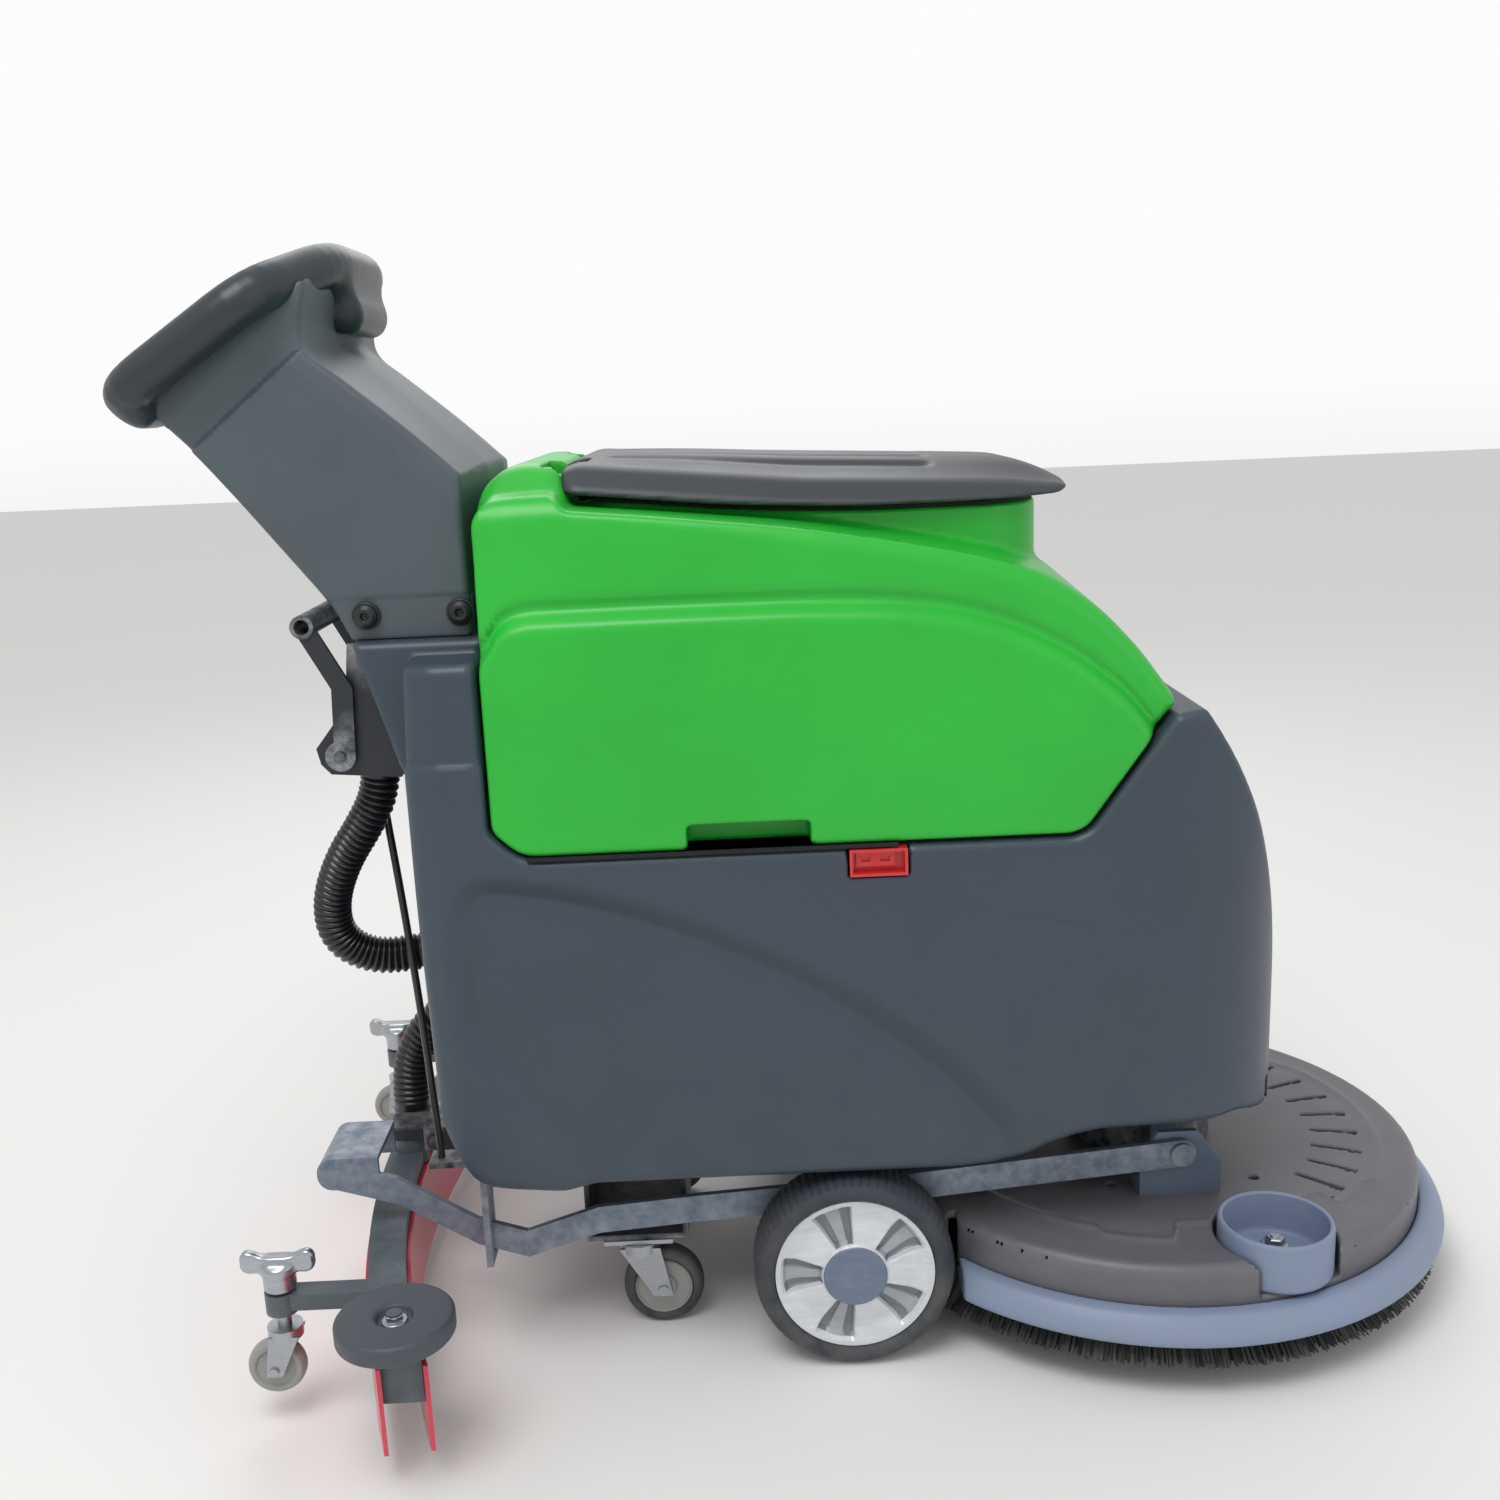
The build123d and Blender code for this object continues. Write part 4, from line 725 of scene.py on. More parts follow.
def alongGrip(x, z):
    # distance up the sloping panel, and out of its plane
    dx, dz = x - grip["x"], z - grip["z"]
    return dx * math.cos(tilt) + dz * math.sin(tilt), dz * math.cos(tilt) - dx * math.sin(tilt)


column = {
    "step": 0.004, "half": neckHigh[1],
    "front": scaled([(-294, 400, 0), (-294, 806, 3), (-338, 848), (-396, 897, 20), (-418, 914, 14),
                     (-408, 955, 6), (-408, 1100, 0), (-900, 1100, 0), (-900, 400, 0)]),
    "rear": scaled([(-405, 400, 0), (-405, 668, 0), (-420, 700, 16), (-489, 791), (-518, 827, 14),
                    (-549, 860, 10), (-562, 872, 3), (-620, 960, 0), (-100, 1100, 0), (-100, 400, 0)]),
    "flat": 0.052, "lean": 0.1, "facet": 0.0045, "edgeFacet": 0.16,
}
frontEdge = outlineField(softOutline(column["front"], 0.03))
rearEdge = outlineField(softOutline(column["rear"], 0.03))
pocketEdge = outlineField(np.array([(0.074, -0.104), (0.168, -0.054), (0.168, 0.054), (0.074, 0.104)]))


def neckField(x, y, z):
    front, rear = frontEdge(x, z), rearEdge(x, z)
    u, n = alongGrip(x, z)
    towardsHead = (x + 0.511) * -0.625 + (z - 0.835) * 0.781
    towardsFront = (x + 0.431) * 0.688 + (z - 0.896) * 0.726
    half = column["half"] - column["facet"] * ease(towardsHead / 0.004) * ease((0.034 - towardsHead) / 0.02)
    half = half - column["edgeFacet"] * np.maximum(towardsFront, 0) - 0.0014 * ease((0.7045 - z) / 0.003)
    face = np.abs(y) - half
    chamfer = front + np.maximum(np.abs(y) - column["flat"], 0) * column["lean"]
    shell = roundMax(roundMax(roundMax(rear, chamfer, 0.007), face, 0.005), 0.668 - z, 0.002)
    shell = roundMax(shell, n - grip["panel"], 0.003)
    slot = roundMax(roundMax(np.abs(u - 0.018) - 0.036, np.abs(y) - 0.115, 0.012), -0.09 - n, 0.004)
    shell = roundMax(shell, -slot, 0.004)
    pocket = np.maximum(pocketEdge(*np.broadcast_arrays(u, y)), -0.022 - n)
    stubHole = boxField(x, y, z, (-0.3995, -0.1445, 0.6), (-0.3005, 0.1425, 0.79), 0.004)
    stubHole = np.maximum(stubHole, roundMax(roundMax(rear, chamfer, 0.002), face, 0.002) + 0.0075)
    return np.maximum(shell, -np.minimum(pocket, stubHole))


neckPiece = netMesh("neckMoulding", neckField, neckLow, neckHigh, column["step"], "column_grey")
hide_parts("neck_column")
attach(neckPiece, "chassis")

# ---- handle loop ----
handleLow, handleHigh = placeOf("handle_ring")
handle = {"step": 0.0036, "thin": 0.0188, "thick": 0.0188,
          "loop": [(0.001, -0.095), (0.014, -0.165), (0.146, -0.165), (0.196, -0.072),
                   (0.196, 0.072), (0.146, 0.165), (0.014, 0.165), (0.001, 0.095)]}
loopLine = softOutline(handle["loop"], 0.03)


def handleField(x, y, z):
    u, n = alongGrip(x, z)
    u, y, n = np.broadcast_arrays(u, y, n)
    best = np.full(u.shape, 1e9)
    for (au, av), (bu, bv) in zip(loopLine, np.roll(loopLine, -1, axis=0)):
        eu, ev = bu - au, bv - av
        t = np.clip(((u - au) * eu + (y - av) * ev) / (eu * eu + ev * ev + 1e-18), 0, 1)
        best = np.minimum(best, (u - au - t * eu) ** 2 + (y - av - t * ev) ** 2 + n ** 2)
    radius = handle["thin"] + (handle["thick"] - handle["thin"]) * ease(u / 0.16)
    tube = np.sqrt(best) - radius
    web = np.sqrt(((u - 0.178) / 1.0) ** 2 + ((n + 0.028) / 1.35) ** 2) - 0.019
    web = roundMax(web, np.abs(y) - (0.07 - 0.3 * np.maximum(-n - 0.01, 0)), 0.012)
    heel = np.sqrt((u - 0.012) ** 2 + ((n + 0.016) / 1.1) ** 2 + (np.maximum(np.abs(y) - 0.148, 0)) ** 2
                   + (np.maximum(0.118 - np.abs(y), 0)) ** 2) - 0.013
    return roundMin(roundMin(tube, web, 0.016), heel, 0.01)


handlePiece = netMesh("handleMoulding", handleField, handleLow - np.array([0, 0, 0.02]), handleHigh,
                      handle["step"], "grip_dark")
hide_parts("handle_ring")
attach(handlePiece, "chassis")

# ---- turned and built pieces ----

def meshPiece(name, points, faces, material, smooth=True, sharp=35.0):
    mesh = bpy.data.meshes.new(name)
    mesh.from_pydata([tuple(p) for p in points], [], [tuple(f) for f in faces])
    mesh.validate()
    mesh.materials.append(materials[material])
    if smooth:
        mesh.polygons.foreach_set("use_smooth", [True] * len(mesh.polygons))
        mesh.set_sharp_from_angle(angle=math.radians(sharp))
    piece = bpy.data.objects.new(name, mesh)
    bpy.context.scene.collection.objects.link(piece)
    return piece


def turned(name, profile, place, axis, material, around=64, wobble=None, sharp=35.0):
    # a closed profile (radius, height) turned about an axis through place
    axis = Vector(axis).normalized()
    sideways = axis.orthogonal().normalized()
    other = axis.cross(sideways)
    points, faces = [], []
    count = len(profile)
    for i in range(around):
        angle = 2 * math.pi * i / around
        out = math.cos(angle) * sideways + math.sin(angle) * other
        for r, h in profile:
            grow = wobble(angle, r, h) if wobble else 0.0
            points.append(Vector(place) + out * (r + grow) + axis * h)
    for i in range(around):
        for k in range(count):
            a, b = i * count + k, i * count + (k + 1) % count
            c, d = ((i + 1) % around) * count + (k + 1) % count, ((i + 1) % around) * count + k
            faces.append((a, b, c, d))
    return meshPiece(name, points, faces, material, sharp=sharp)


def softProfile(points, cut):
    return [tuple(p) for p in softOutline(points, cut)]


def settle(piece, slot, body, *nodes):
    if nodes:
        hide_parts(*nodes)
    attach(piece, body)
    return piece


# domed bolts with a flange, a socket and a washer
boltsLow, boltsHigh = placeOf("neck_bolts")
bolt = {"dome": 0.0105, "flange": 0.0122, "proud": 0.009}
boltPieces = []
for side in (-1, 1):
    for boltX in (boltsLow[0] + bolt["flange"] - 0.0002, boltsHigh[0] - bolt["flange"] + 0.0002):
        seat = (boltX, side * column["half"], (boltsLow[2] + boltsHigh[2]) / 2)
        profile = softProfile([(0.0002, 0.0045), (0.0028, 0.0048), (0.0034, 0.0082), (0.0062, 0.0086),
                               (0.0098, 0.0055), (0.0104, 0.0026), (0.0118, 0.0024), (0.012, -0.001),
                               (0.0002, -0.001)], 0.0009)
        boltPieces.append(turned("neckBolt_%d" % len(boltPieces), profile, seat, (0, side, 0),
                                 "panel_black", 40))
for number, piece in enumerate(boltPieces):
    settle(piece, "panel_black", "chassis", *(("neck_bolts",) if number == 0 else ()))

# ---- drive wheels ----
wheel = {"tyre": 0.09, "rim": 0.0715, "cap": 0.0285, "spokes": 5, "spokeHalf": 0.38, "recess": 0.007}


def tyreWobble(angle, r, h):
    if r < wheel["tyre"] - 0.004:
        return 0.0
    return -0.0011 * (0.5 + 0.5 * math.cos(angle * 72)) ** 6


def wheelFace(name, place, outwards, start):
    # polar grid: five broad spokes stand proud of grey sectors
    points, faces, kinds = [], [], []
    radii = [0.0] + list(np.linspace(0.012, wheel["cap"] - 0.001, 4)) + [wheel["cap"], wheel["cap"] + 0.0015]
    radii += list(np.linspace(wheel["cap"] + 0.004, wheel["rim"] - 0.007, 12))
    radii += [wheel["rim"] - 0.0045, wheel["rim"] - 0.0025, wheel["rim"] - 0.0004]
    around = 240
    for r in radii:
        for i in range(around):
            angle = 2 * math.pi * i / around + start
            phase = (angle * wheel["spokes"] / (2 * math.pi)) % 1.0
            fromSpoke = min(phase, 1 - phase) * 2 * math.pi / wheel["spokes"]
            onSpoke = ease((wheel["spokeHalf"] - fromSpoke) / 0.05)
            wedge = ease((fromSpoke - 0.5) / 0.03) * 0.35
            sector = ease((r - wheel["cap"] - 0.001) / 0.002) * ease((wheel["rim"] - 0.006 - r) / 0.002)
            depth = -wheel["recess"] * sector * (1 - onSpoke) * (1 - wedge)
            dish = -0.004 * ease((r - wheel["cap"]) / 0.03) * ease((wheel["rim"] - r) / 0.02)
            cap = 0.0035 * ease((wheel["cap"] + 0.001 - r) / 0.0015) - 0.001 * ease((0.02 - r) / 0.01)
            height = depth + dish + cap
            points.append((place[0] + r * math.cos(angle), place[1] + outwards * height,
                           place[2] + r * math.sin(angle)))
    for k in range(len(radii) - 1):
        middle = (radii[k] + radii[k + 1]) / 2
        for i in range(around):
            j = (i + 1) % around
            angle = 2 * math.pi * (i + 0.5) / around + start
            phase = (angle * wheel["spokes"] / (2 * math.pi)) % 1.0
            fromSpoke = min(phase, 1 - phase) * 2 * math.pi / wheel["spokes"]
            face = [k * around + i, (k + 1) * around + i, (k + 1) * around + j, k * around + j]
            if outwards > 0:
                face = face[::-1]
            faces.append(face)
            inSector = wheel["cap"] + 0.001 < middle < wheel["rim"] - 0.006
            if middle < wheel["cap"] + 0.0005:
                kinds.append(2)
            elif inSector and fromSpoke > wheel["spokeHalf"] - 0.02:
                kinds.append(1 if fromSpoke < 0.5 else 3)
            else:
                kinds.append(0)
    return points, faces, kinds


rimTones = {"rim_sector": (128, 132, 138), "rim_cap": (112, 124, 146), "rim_wedge": (168, 172, 178)}
for tone, colour in rimTones.items():
    materials[tone] = metal(tone, colour, 0.4, shine=0.35, wear=0.1, dust=0.15)
for side, name in ((-1, "right"), (1, "left")):
    tyreLow, tyreHigh = placeOf("tyre_" + name)
    middle = (tyreLow + tyreHigh) / 2
    halfWide = (tyreHigh[1] - tyreLow[1]) / 2
    inner = wheel["rim"] + 0.0002
    profile = softProfile([(inner, halfWide - 0.006), (inner + 0.003, halfWide - 0.001),
                           (0.080, halfWide - 0.0005), (0.0866, halfWide - 0.005), (0.0898, halfWide - 0.013),
                           (0.0899, 0.002), (0.0888, 0.0), (0.0899, -0.002), (0.0898, -halfWide + 0.013),
                           (0.0866, -halfWide + 0.005), (0.080, -halfWide + 0.0005),
                           (inner + 0.003, -halfWide + 0.001), (inner, -halfWide + 0.006)], 0.0035)
    settle(turned("tyreBody_" + name, profile, middle, (0, 1, 0), "tyre_rubber", 288, tyreWobble, 50.0),
           "tyre_rubber", "wheel_" + name, "tyre_" + name)
    faceY = middle[1] + side * (halfWide - 0.006)
    points, faces, kinds = wheelFace("rimFace", (middle[0], faceY, middle[2]), side, math.radians(36))
    piece = meshPiece("rimFace_" + name, points, faces, "hub_silver", sharp=30.0)
    for tone in rimTones:
        piece.data.materials.append(materials[tone])
    order = {0: 0, 1: 1, 2: 2, 3: 3}
    if len(piece.data.polygons) == len(kinds):
        piece.data.polygons.foreach_set("material_index", [order[k] for k in kinds])
    settle(piece, "hub_silver", "wheel_" + name)
    drum = softProfile([(0.0092, side * -0.024), (0.06, side * -0.024),
                        (wheel["rim"] - 0.0002, side * -0.022), (wheel["rim"] - 0.0002, side * 0.0225),
                        (wheel["rim"] - 0.006, side * 0.0215), (0.0615, side * 0.012),
                        (0.0092, side * 0.012)], 0.0015)
    settle(turned("rimDrum_" + name, drum, middle, (0, 1, 0), "hub_silver", 96), "hub_silver",
           "wheel_" + name, "rim_" + name)
print("wheels built")

# ---- hoses and cable ----

def routeCurve(name, points):
    data = bpy.data.curves.new(name, "CURVE")
    data.dimensions = "3D"
    data.resolution_u = 24
    spline = data.splines.new("NURBS")
    spline.points.add(len(points) - 1)
    for slotPoint, p in zip(spline.points, points):
        slotPoint.co = (p[0] * mm, p[1] * mm, p[2] * mm, 1.0)
    spline.order_u = 3
    spline.use_endpoint_u = True
    return bpy.data.objects.new(name, data)


def routePath(points, gap):
    # even steps along the evaluated spline
    guide = routeCurve("guide", points)
    bpy.context.scene.collection.objects.link(guide)
    bpy.context.view_layer.update()
    raw = bpy.data.meshes.new_from_object(guide.evaluated_get(bpy.context.evaluated_depsgraph_get()))
    line = np.array([v.co[:] for v in raw.vertices])
    bpy.data.meshes.remove(raw)
    bpy.data.objects.remove(guide)
    lengths = np.concatenate([[0], np.cumsum(np.linalg.norm(np.diff(line, axis=0), axis=1))])
    count = max(4, int(round(lengths[-1] / gap)))
    where = np.linspace(0, lengths[-1], count + 1)
    return np.stack([np.interp(where, lengths, line[:, k]) for k in range(3)], 1)


def ribbedTube(name, points, outer, ribDeep, pitch, material, around=32):
    # rings along the route, whose radius swells at each rib
    perRib = 6
    path = routePath(points, pitch / perRib)
    tangents = np.gradient(path, axis=0)
    tangents /= np.linalg.norm(tangents, axis=1, keepdims=True)
    normal = np.cross(tangents[0], (0.0, 1.0, 0.0))
    normal /= np.linalg.norm(normal)
    rows, faces = [], []
    for i, (here, tangent) in enumerate(zip(path, tangents)):
        normal = normal - tangent * normal.dot(tangent)
        normal /= np.linalg.norm(normal)
        other = np.cross(tangent, normal)
        swell = abs(math.cos(math.pi * i / perRib)) ** 1.3
        plain = i < perRib * 1.5 or i > len(path) - perRib * 1.5
        radius = outer - (0.2 * ribDeep if plain else ribDeep * (1 - swell))
        for k in range(around):
            angle = 2 * math.pi * k / around
            rows.append(here + radius * (math.cos(angle) * normal + math.sin(angle) * other))
    for i in range(len(path) - 1):
        for k in range(around):
            j = (k + 1) % around
            faces.append((i * around + k, i * around + j, (i + 1) * around + j, (i + 1) * around + k))
    faces.append(tuple(range(around))[::-1])
    faces.append(tuple((len(path) - 1) * around + k for k in range(around)))
    return meshPiece(name, rows, faces, material, sharp=70.0), path


def pathLength(path):
    return float(np.linalg.norm(np.diff(path, axis=0), axis=1).sum())


drainHose = {"route": [(-405, -88, 546), (-407, -87, 523), (-424, -84, 492), (-451, -76, 455),
                       (-469, -66, 412), (-468, -57, 374), (-442, -49, 352), (-406, -43, 349),
                       (-360, -38, 357)],
             "outer": 0.0175, "rib": 0.0028, "pitch": 0.0062}
hosePiece, hosePath = ribbedTube("drainHose", drainHose["route"], drainHose["outer"], drainHose["rib"],
                                 drainHose["pitch"], "hose_black")
settle(hosePiece, "hose_black", "chassis", "drain_hose")

liftCable = {"route": [(-414, -58, 546), (-411, -62, 500), (-404, -68, 440), (-397, -75, 372),
                       (-391, -81, 300), (-387, -83, 228), (-384, -84, 158)], "radius": 0.0035}
cablePiece = routeCurve("liftCable", liftCable["route"])
cablePiece.data.bevel_depth = liftCable["radius"]
cablePiece.data.bevel_resolution = 6
cablePiece.data.use_fill_caps = True
cablePiece.data.materials.append(materials["hose_black"])
bpy.context.scene.collection.objects.link(cablePiece)
settle(cablePiece, "hose_black", "chassis", "lift_cable")
pathLength(routePath(liftCable["route"], 0.005))

suctionHose = {"route": [(-358, 42, 262), (-384, 42, 259), (-410, 42, 244), (-429, 43, 214), (-437, 44, 182),
                         (-437, 44, 152.4)], "outer": 0.019, "rib": 0.003, "pitch": 0.0066}
suctionPiece, suctionPath = ribbedTube("suctionHose", suctionHose["route"], suctionHose["outer"],
                                       suctionHose["rib"], suctionHose["pitch"], "hose_black")
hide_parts("suction_hose")
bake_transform(suctionPiece)
print("hoses and cable laid")

# ---- brush deck ----
deckLow, deckHigh = placeOf("deck_housing")
deck = {
    "x": 0.305, "radius": 0.265, "top": float(deckHigh[2]), "low": float(deckLow[2]), "wall": 0.005,
    "edge": 0.011, "bead": 0.222, "beadHigh": 0.0022, "beadHalf": 0.0048, "step": 0.0032,
    "cup": (0.372, -0.215), "cupR": 0.05, "wheelSide": 0.150, "wheelFront": 0.098,
    "holes": ((0.249, -0.121), (0.384, -0.121)),
}


def wheelRoom(x, y):
    return np.maximum(x - deck["wheelFront"], deck["wheelSide"] - np.abs(y))


def beadRadius(angle):
    # the raised bead steps outwards beside the bumper roller and at the front
    near = ease((0.42 - np.abs(angle + 1.27)) / 0.05)
    rear = ease((-1.95 - angle) / 0.05)
    front = ease((0.62 - np.abs(angle + 0.05)) / 0.06)
    return deck["bead"] - 0.026 * near - 0.008 * rear + 0.006 * front


def housingField(x, y, z):
    dx = x - deck["x"]
    r = np.hypot(dx, y)
    angle = np.arctan2(y, dx)
    top = z - deck["top"] + 0.0032 * ease((r - 0.19) / 0.06)
    bead = deck["beadHigh"] * np.exp(-((r - beadRadius(angle)) / deck["beadHalf"]) ** 2)
    shell = roundMax(roundMax(r - deck["radius"], top - bead, deck["edge"]), deck["low"] - z, 0.0015)
    hollow = np.maximum(r - (deck["radius"] - deck["wall"]), z - (deck["top"] - deck["wall"] - 0.007))
    floorLow = 0.0845 - 0.0045
    cupR = np.hypot(x - deck["cup"][0], y - deck["cup"][1])
    pan = np.maximum(cupR - 0.058, floorLow - z)
    hollow = np.maximum(hollow, -pan)
    pocket = np.maximum(cupR - 0.053, 0.0842 - z)
    shell = roundMax(shell, -hollow, 0.001)
    shell = roundMax(shell, -pocket, 0.003)
    post = rodField(x, y, z, deck["cup"], 0.0058, 0.082, 0.107)
    shell = np.minimum(shell, post)
    fan = 11 * math.pi / 180
    slotAngle = np.clip(np.round(angle / fan), -4, 4) * fan
    along = dx * np.cos(slotAngle) + y * np.sin(slotAngle) - 0.19
    across = -dx * np.sin(slotAngle) + y * np.cos(slotAngle)
    slot = np.hypot(np.maximum(np.abs(along) - 0.02, 0), across) - 0.0029
    cuts = np.maximum(slot, 0.1 - z)
    for hole in deck["holes"]:
        cuts = np.minimum(cuts, np.maximum(np.hypot(x - hole[0], y - hole[1]) - 0.0046, 0.1 - z))
    cuts = np.minimum(cuts, np.maximum(r - 0.014, 0.1 - z))
    shell = roundMax(shell, -cuts, 0.0008)
    return roundMax(shell, -wheelRoom(x, y), 0.002)


housingPiece = netMesh("deckHousing", housingField, deckLow, deckHigh, deck["step"], "deck_grey")
settle(housingPiece, "deck_grey", "deck", "deck_housing")

skirtLow, skirtHigh = placeOf("deck_skirt")
skirtOutline = outlineField(softOutline(
    [(0.2605, 0.0515), (0.283, 0.0512), (0.2898, 0.0545), (0.2899, 0.062), (0.286, 0.0705),
     (0.279, 0.0785), (0.2725, 0.0798), (0.2655, 0.0798), (0.2655, 0.0672), (0.2605, 0.0672)], 0.006))


def skirtField(x, y, z):
    r = np.hypot(x - deck["x"], y)
    return roundMax(skirtOutline(*np.broadcast_arrays(r, z)), -wheelRoom(x, y), 0.002)


skirtPiece = netMesh("deckSkirt", skirtField, skirtLow, skirtHigh, 0.003, "skirt_blue")
settle(skirtPiece, "skirt_blue", "deck", "deck_skirt")


def buildBristles(name, low, high):
    # tufts in rings, each of a few tapered filaments that splay outwards
    dice = random.Random(41)
    rings = [(0.2515, 430, 4), (0.244, 300, 4), (0.232, 190, 3), (0.212, 150, 3), (0.19, 130, 3),
             (0.168, 110, 3), (0.146, 90, 3), (0.13, 80, 3)]
    points, faces = [], []
    for ringR, tufts, strands in rings:
        splay = 0.0315 * ease((ringR - 0.2) / 0.05)
        for tuft in range(tufts):
            angle = 2 * math.pi * (tuft + dice.uniform(-0.18, 0.18)) / tufts
            for strand in range(strands):
                rootR = ringR + dice.uniform(-0.003, 0.003)
                rootA = angle + dice.uniform(-0.005, 0.005)
                lean = dice.uniform(-0.006, 0.006)
                tipR = min(rootR + splay * dice.uniform(0.8, 1.0), 0.2838)
                base = len(points)
                tipHigh = low + dice.uniform(0.0, 0.0022)
                stations = ((high - 0.0005, 0.0), (high - 0.014, 0.35), (tipHigh, 1.0))
                for step, (height, share) in enumerate(stations):
                    r = rootR + (tipR - rootR) * share ** 1.3
                    a = rootA + lean * share
                    thick = (0.0017, 0.0016, 0.0013)[step]
                    for side in range(3):
                        turn = 2 * math.pi * side / 3 + strand
                        edgeR = min(r + thick * math.cos(turn), 0.2839)
                        edgeA = a + thick * math.sin(turn) / r
                        points.append((deck["x"] + edgeR * math.cos(edgeA), edgeR * math.sin(edgeA), height))
                for step in range(2):
                    for side in range(3):
                        a0, a1 = base + step * 3 + side, base + step * 3 + (side + 1) % 3
                        faces.append((a0, a1, a1 + 3, a0 + 3))
                faces.append((base + 6, base + 7, base + 8))
    return meshPiece(name, points, faces, "bristle_black", sharp=80.0)


brushLow, brushHigh = placeOf("bristles")
settle(buildBristles("brushBristles", brushLow[2], brushHigh[2]), "bristle_black", "brush", "bristles")
backing = softProfile([(0.119, 0.0), (0.256, 0.0), (0.2575, -0.004), (0.256, -0.009), (0.122, -0.009)], 0.002)
band = turned("brushRootBand", backing, (deck["x"], 0, brushHigh[2] - 0.0002), (0, 0, 1),
              "bristle_black", 120)
settle(band, "bristle_black", "brush")

# bumper roller: an open cup on its bolt
cupLow = placeOf("bumper_cup")[0]
cupProfile = softProfile([(0.0062, 0.006), (0.0062, 0.020), (0.012, 0.020), (0.0125, 0.0085),
                          (0.043, 0.0078), (0.0447, 0.0115), (0.0452, 0.0445), (0.0465, 0.0455),
                          (0.0485, 0.0455), (0.0498, 0.043), (0.0498, 0.003), (0.048, 0.0002),
                          (0.0062, 0.0002)], 0.0016)
cup = turned("bumperCup", cupProfile, (deck["cup"][0], deck["cup"][1], cupLow[2]), (0, 0, 1),
             "skirt_blue", 96)
settle(cup, "skirt_blue", "bumper", "bumper_cup")


def hexBolt(name, place, axis, radius, high, body, material="zinc"):
    # washer, six-sided head with a turned top, and the thread's end
    profile = softProfile([(0.0002, -0.0005), (radius * 1.45, -0.0005), (radius * 1.5, 0.0006),
                           (radius * 1.4, 0.0014), (radius * 1.02, 0.0016), (radius, high * 0.86),
                           (radius * 0.82, high), (radius * 0.5, high), (radius * 0.48, high * 1.12),
                           (0.0002, high * 1.15)], 0.0004)

    def flats(angle, r, h):
        if r < radius * 0.7 or r > radius * 1.2:
            return 0.0
        return r * (math.cos(math.pi / 6) / math.cos((angle % (math.pi / 3)) - math.pi / 6) - 1.0)
    return settle(turned(name, profile, place, axis, material, 48, flats, 25.0), material, body)


hexBolt("cupBolt", (deck["cup"][0], deck["cup"][1], 0.1045), (0, 0, 1), 0.0085, 0.008, "deck")

# ---- squeegee rollers, casters and wing nuts ----
for side, name in ((-1, "right"), (1, "left")):
    low, high = placeOf("end_roller_" + name)
    middle = (low + high) / 2
    thick = high[2] - low[2]
    profile = softProfile([(0.0062, -0.008), (0.0062, 0.003), (0.0135, 0.0032), (0.0155, 0.0078),
                           (0.0185, 0.0089), (0.046, 0.0089), (0.0484, 0.0065), (0.0484, -0.0065),
                           (0.046, -0.0089), (0.02, -0.0089), (0.018, -0.007), (0.009, -0.0078)], 0.0014)
    settle(turned("endRoller_" + name, profile, middle, (0, 0, 1), "caster_grey", 96), "caster_grey",
           "roller_" + name, "end_roller_" + name)
    hexBolt("rollerBolt_" + name, (middle[0], middle[1], middle[2] + 0.0034), (0, 0, 1),
            0.0072, 0.0062, "squeegee")
    low, high = placeOf("squeegee_wheel_" + name)
    middle = (low + high) / 2
    profile = softProfile([(0.0042, -0.0088), (0.0042, 0.0088), (0.0095, 0.0088), (0.0105, 0.0062),
                           (0.0165, 0.0058), (0.0178, 0.0082), (0.0225, 0.0078), (0.0249, 0.003),
                           (0.0249, -0.003), (0.0225, -0.0078), (0.0178, -0.0082), (0.0165, -0.0058),
                           (0.0105, -0.0062), (0.0095, -0.0088)], 0.0014)
    settle(turned("smallWheel_" + name, profile, middle, (0, 1, 0), "wheel_pale", 72), "wheel_pale",
           "small_wheel_" + name, "squeegee_wheel_" + name)
    low, high = placeOf("caster_wheel_" + name)
    middle = (low + high) / 2
    profile = softProfile([(0.0052, -0.0118), (0.0052, 0.0118), (0.0115, 0.0118), (0.0125, 0.0075),
                           (0.0245, 0.0065), (0.0262, 0.0095), (0.0272, 0.0102)], 0.0012)
    core = profile + [(r, -h) for r, h in reversed(profile[2:])]
    settle(turned("casterHub_" + name, core, middle, (0, 1, 0), "wheel_pale", 72), "wheel_pale",
           "caster_" + name, "caster_wheel_" + name)
    tread = softProfile([(0.0274, 0.0104), (0.033, 0.0116), (0.0372, 0.0075), (0.0379, 0.003),
                         (0.0379, -0.003), (0.0372, -0.0075), (0.033, -0.0116), (0.0274, -0.0104)], 0.003)
    settle(turned("casterTread_" + name, tread, middle, (0, 1, 0), "tyre_rubber", 96), "tyre_rubber",
           "caster_" + name)


def wingField(cx, cy, low, high):
    # cast wing nut: round boss and two lobes that rise outwards
    def at(x, y, z):
        boss = rodField(x, y, z, (cx, cy), 0.0138, low, low + 0.024, r=0.004)
        reachX = np.abs(x - cx)
        lift = 0.006 * ease((reachX - 0.008) / 0.02)
        lobeHigh = 0.0075 + 0.0025 * ease((reachX - 0.012) / 0.012)
        lobe = roundMax(reachX - 0.0318, np.abs(z - (high - 0.0115 + lift * 0.35)) - lobeHigh, 0.0072)
        thickness = 0.0048 + 0.002 * ease((0.018 - reachX) / 0.012)
        lobe = roundMax(lobe, np.abs(y - cy) - thickness, 0.0035)
        body = roundMin(boss, lobe, 0.006)
        return np.maximum(body, -rodField(x, y, z, (cx, cy), 0.0062, low - 0.01, low + 0.013))
    return at


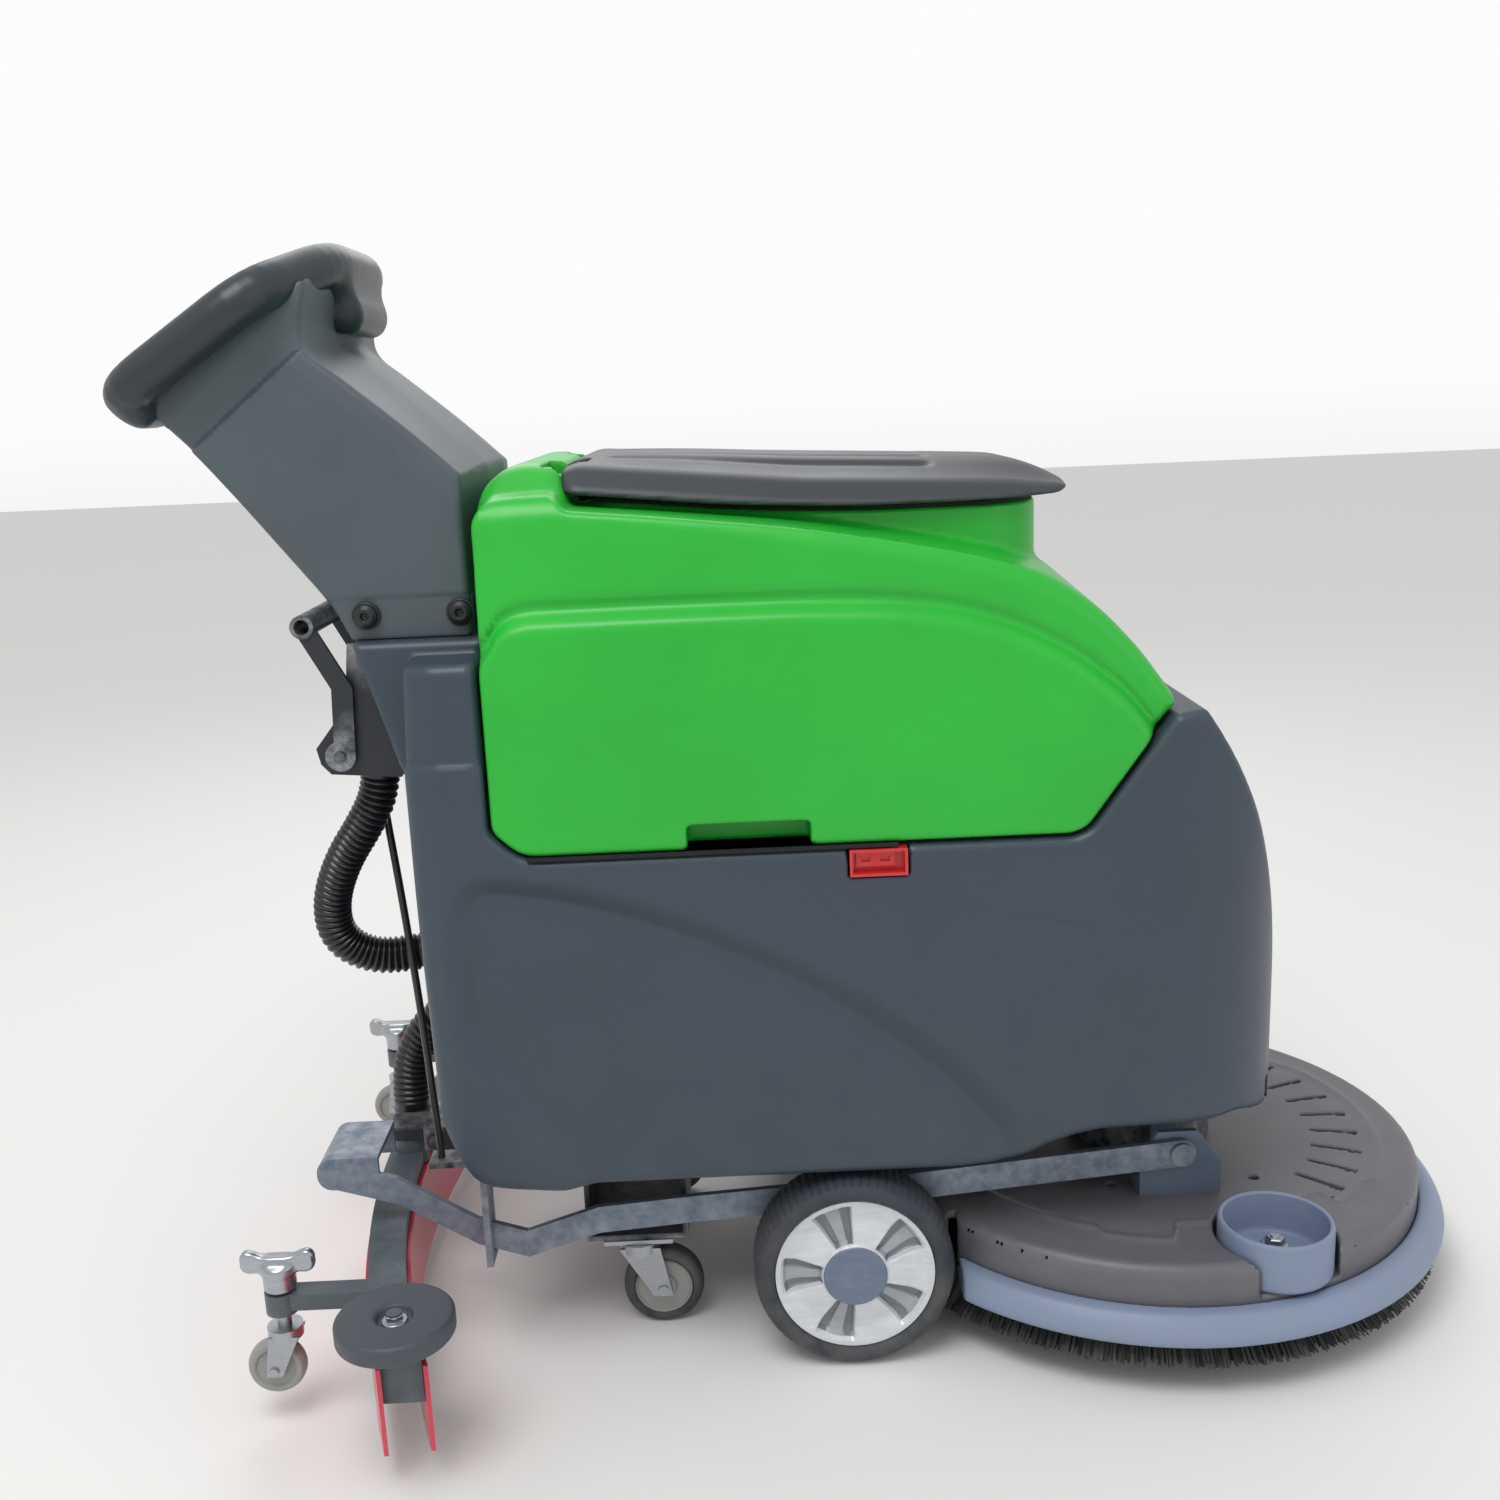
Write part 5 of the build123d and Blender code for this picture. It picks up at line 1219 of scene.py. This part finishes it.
for name in ("right", "left"):
    low, high = placeOf("wing_knob_" + name)
    cx, cy = (low[0] + high[0]) / 2, (low[1] + high[1]) / 2
    piece = netMesh("wingNut_" + name, wingField(cx, cy, low[2], high[2]), low, high, 0.0015, "zinc")
    settle(piece, "zinc", "knob_" + name, "wing_knob_" + name)
print("deck, rollers and wing nuts built")

# ---- camera, lights and floor ----
view = {"place": (-0.0840, -1.4438, 0.8594), "pitch": 13.06, "yaw": 0.458, "roll": -2.406, "lens": 37.15}
pitch, yaw, roll = (math.radians(view[key]) for key in ("pitch", "yaw", "roll"))
forward = Vector((math.sin(yaw) * math.cos(pitch), math.cos(yaw) * math.cos(pitch), -math.sin(pitch)))
level = Vector((math.cos(yaw), -math.sin(yaw), 0))
upright = level.cross(forward)
right = math.cos(roll) * level + math.sin(roll) * upright
upward = -math.sin(roll) * level + math.cos(roll) * upright
lensData = bpy.data.cameras.new("studioCamera")
lensData.lens = view["lens"]
lensData.sensor_width = 36.0
cameraPiece = bpy.data.objects.new("studioCamera", lensData)
cameraTurn = Matrix((right, upward, -forward)).transposed().to_4x4()
cameraPiece.matrix_world = Matrix.Translation(Vector(view["place"])) @ cameraTurn
bpy.context.scene.collection.objects.link(cameraPiece)
bpy.context.scene.camera = cameraPiece

studio = {"sky": 0.98, "low": 0.62, "floor": (238, 238, 236), "key": 40.0, "fill": 3.0, "rim": 12.0,
          "ambient": 0.72}
world = bpy.data.worlds.new("studioSky")
world.use_nodes = True
skyTree = world.node_tree
skyHeight = skyTree.nodes.new("ShaderNodeSeparateXYZ")
skyTree.links.new(skyTree.nodes.new("ShaderNodeTexCoord").outputs["Generated"], skyHeight.inputs[0])
skyTone = rampNode(skyTree, skyHeight.outputs["Z"], -0.3, 0.0, studio["low"], 1.0)
skyTree.links.new(skyTone, skyTree.nodes["Background"].inputs["Color"])
# the backdrop stays white while the surfaces get less of it
seen = skyTree.nodes.new("ShaderNodeLightPath").outputs["Is Camera Ray"]
strength = rampNode(skyTree, seen, 0.0, 1.0, studio["ambient"], studio["sky"])
skyTree.links.new(strength, skyTree.nodes["Background"].inputs["Strength"])
bpy.context.scene.world = world
bpy.context.scene.view_settings.view_transform = "Standard"


def areaLight(name, place, aim, size, power, tall=None):
    data = bpy.data.lights.new(name, "AREA")
    data.shape = "RECTANGLE"
    data.size, data.size_y = size, tall or size
    data.energy = power
    lamp = bpy.data.objects.new(name, data)
    lamp.location = place
    lamp.rotation_euler = (Vector(aim) - Vector(place)).to_track_quat("-Z", "Y").to_euler()
    bpy.context.scene.collection.objects.link(lamp)


areaLight("keyLight", (-0.7, -1.5, 3.0), (0, 0, 0.4), 1.5, studio["key"])
areaLight("fillLight", (1.9, -1.6, 1.2), (0, 0, 0.4), 1.4, studio["fill"])
areaLight("rimLight", (-0.3, 1.9, 2.2), (0, 0, 0.6), 1.6, studio["rim"])

floorMesh = bpy.data.meshes.new("studioFloor")
reach = 14.0
floorCorners = [(-reach, -reach, 0), (reach, -reach, 0), (reach, reach, 0), (-reach, reach, 0)]
floorMesh.from_pydata(floorCorners, [], [(0, 1, 2, 3)])
floorPiece = bpy.data.objects.new("studioFloor", floorMesh)
floorMaterial, floorTree, floorShader = startMaterial("studioPaper")
paperPlace = floorTree.nodes.new("ShaderNodeTexCoord").outputs["Object"]
paperNoise = noiseNode(floorTree, paperPlace, 3.0, 3.0)
paper = mixColour(floorTree, paperNoise, linear(shade(studio["floor"], 0.995)), linear(studio["floor"]))
wire(floorTree, paper, floorShader.inputs["Base Color"])
floorShader.inputs["Roughness"].default_value = 0.9
floorMesh.materials.append(floorMaterial)
bpy.context.scene.collection.objects.link(floorPiece)
print("camera, lights and floor set")
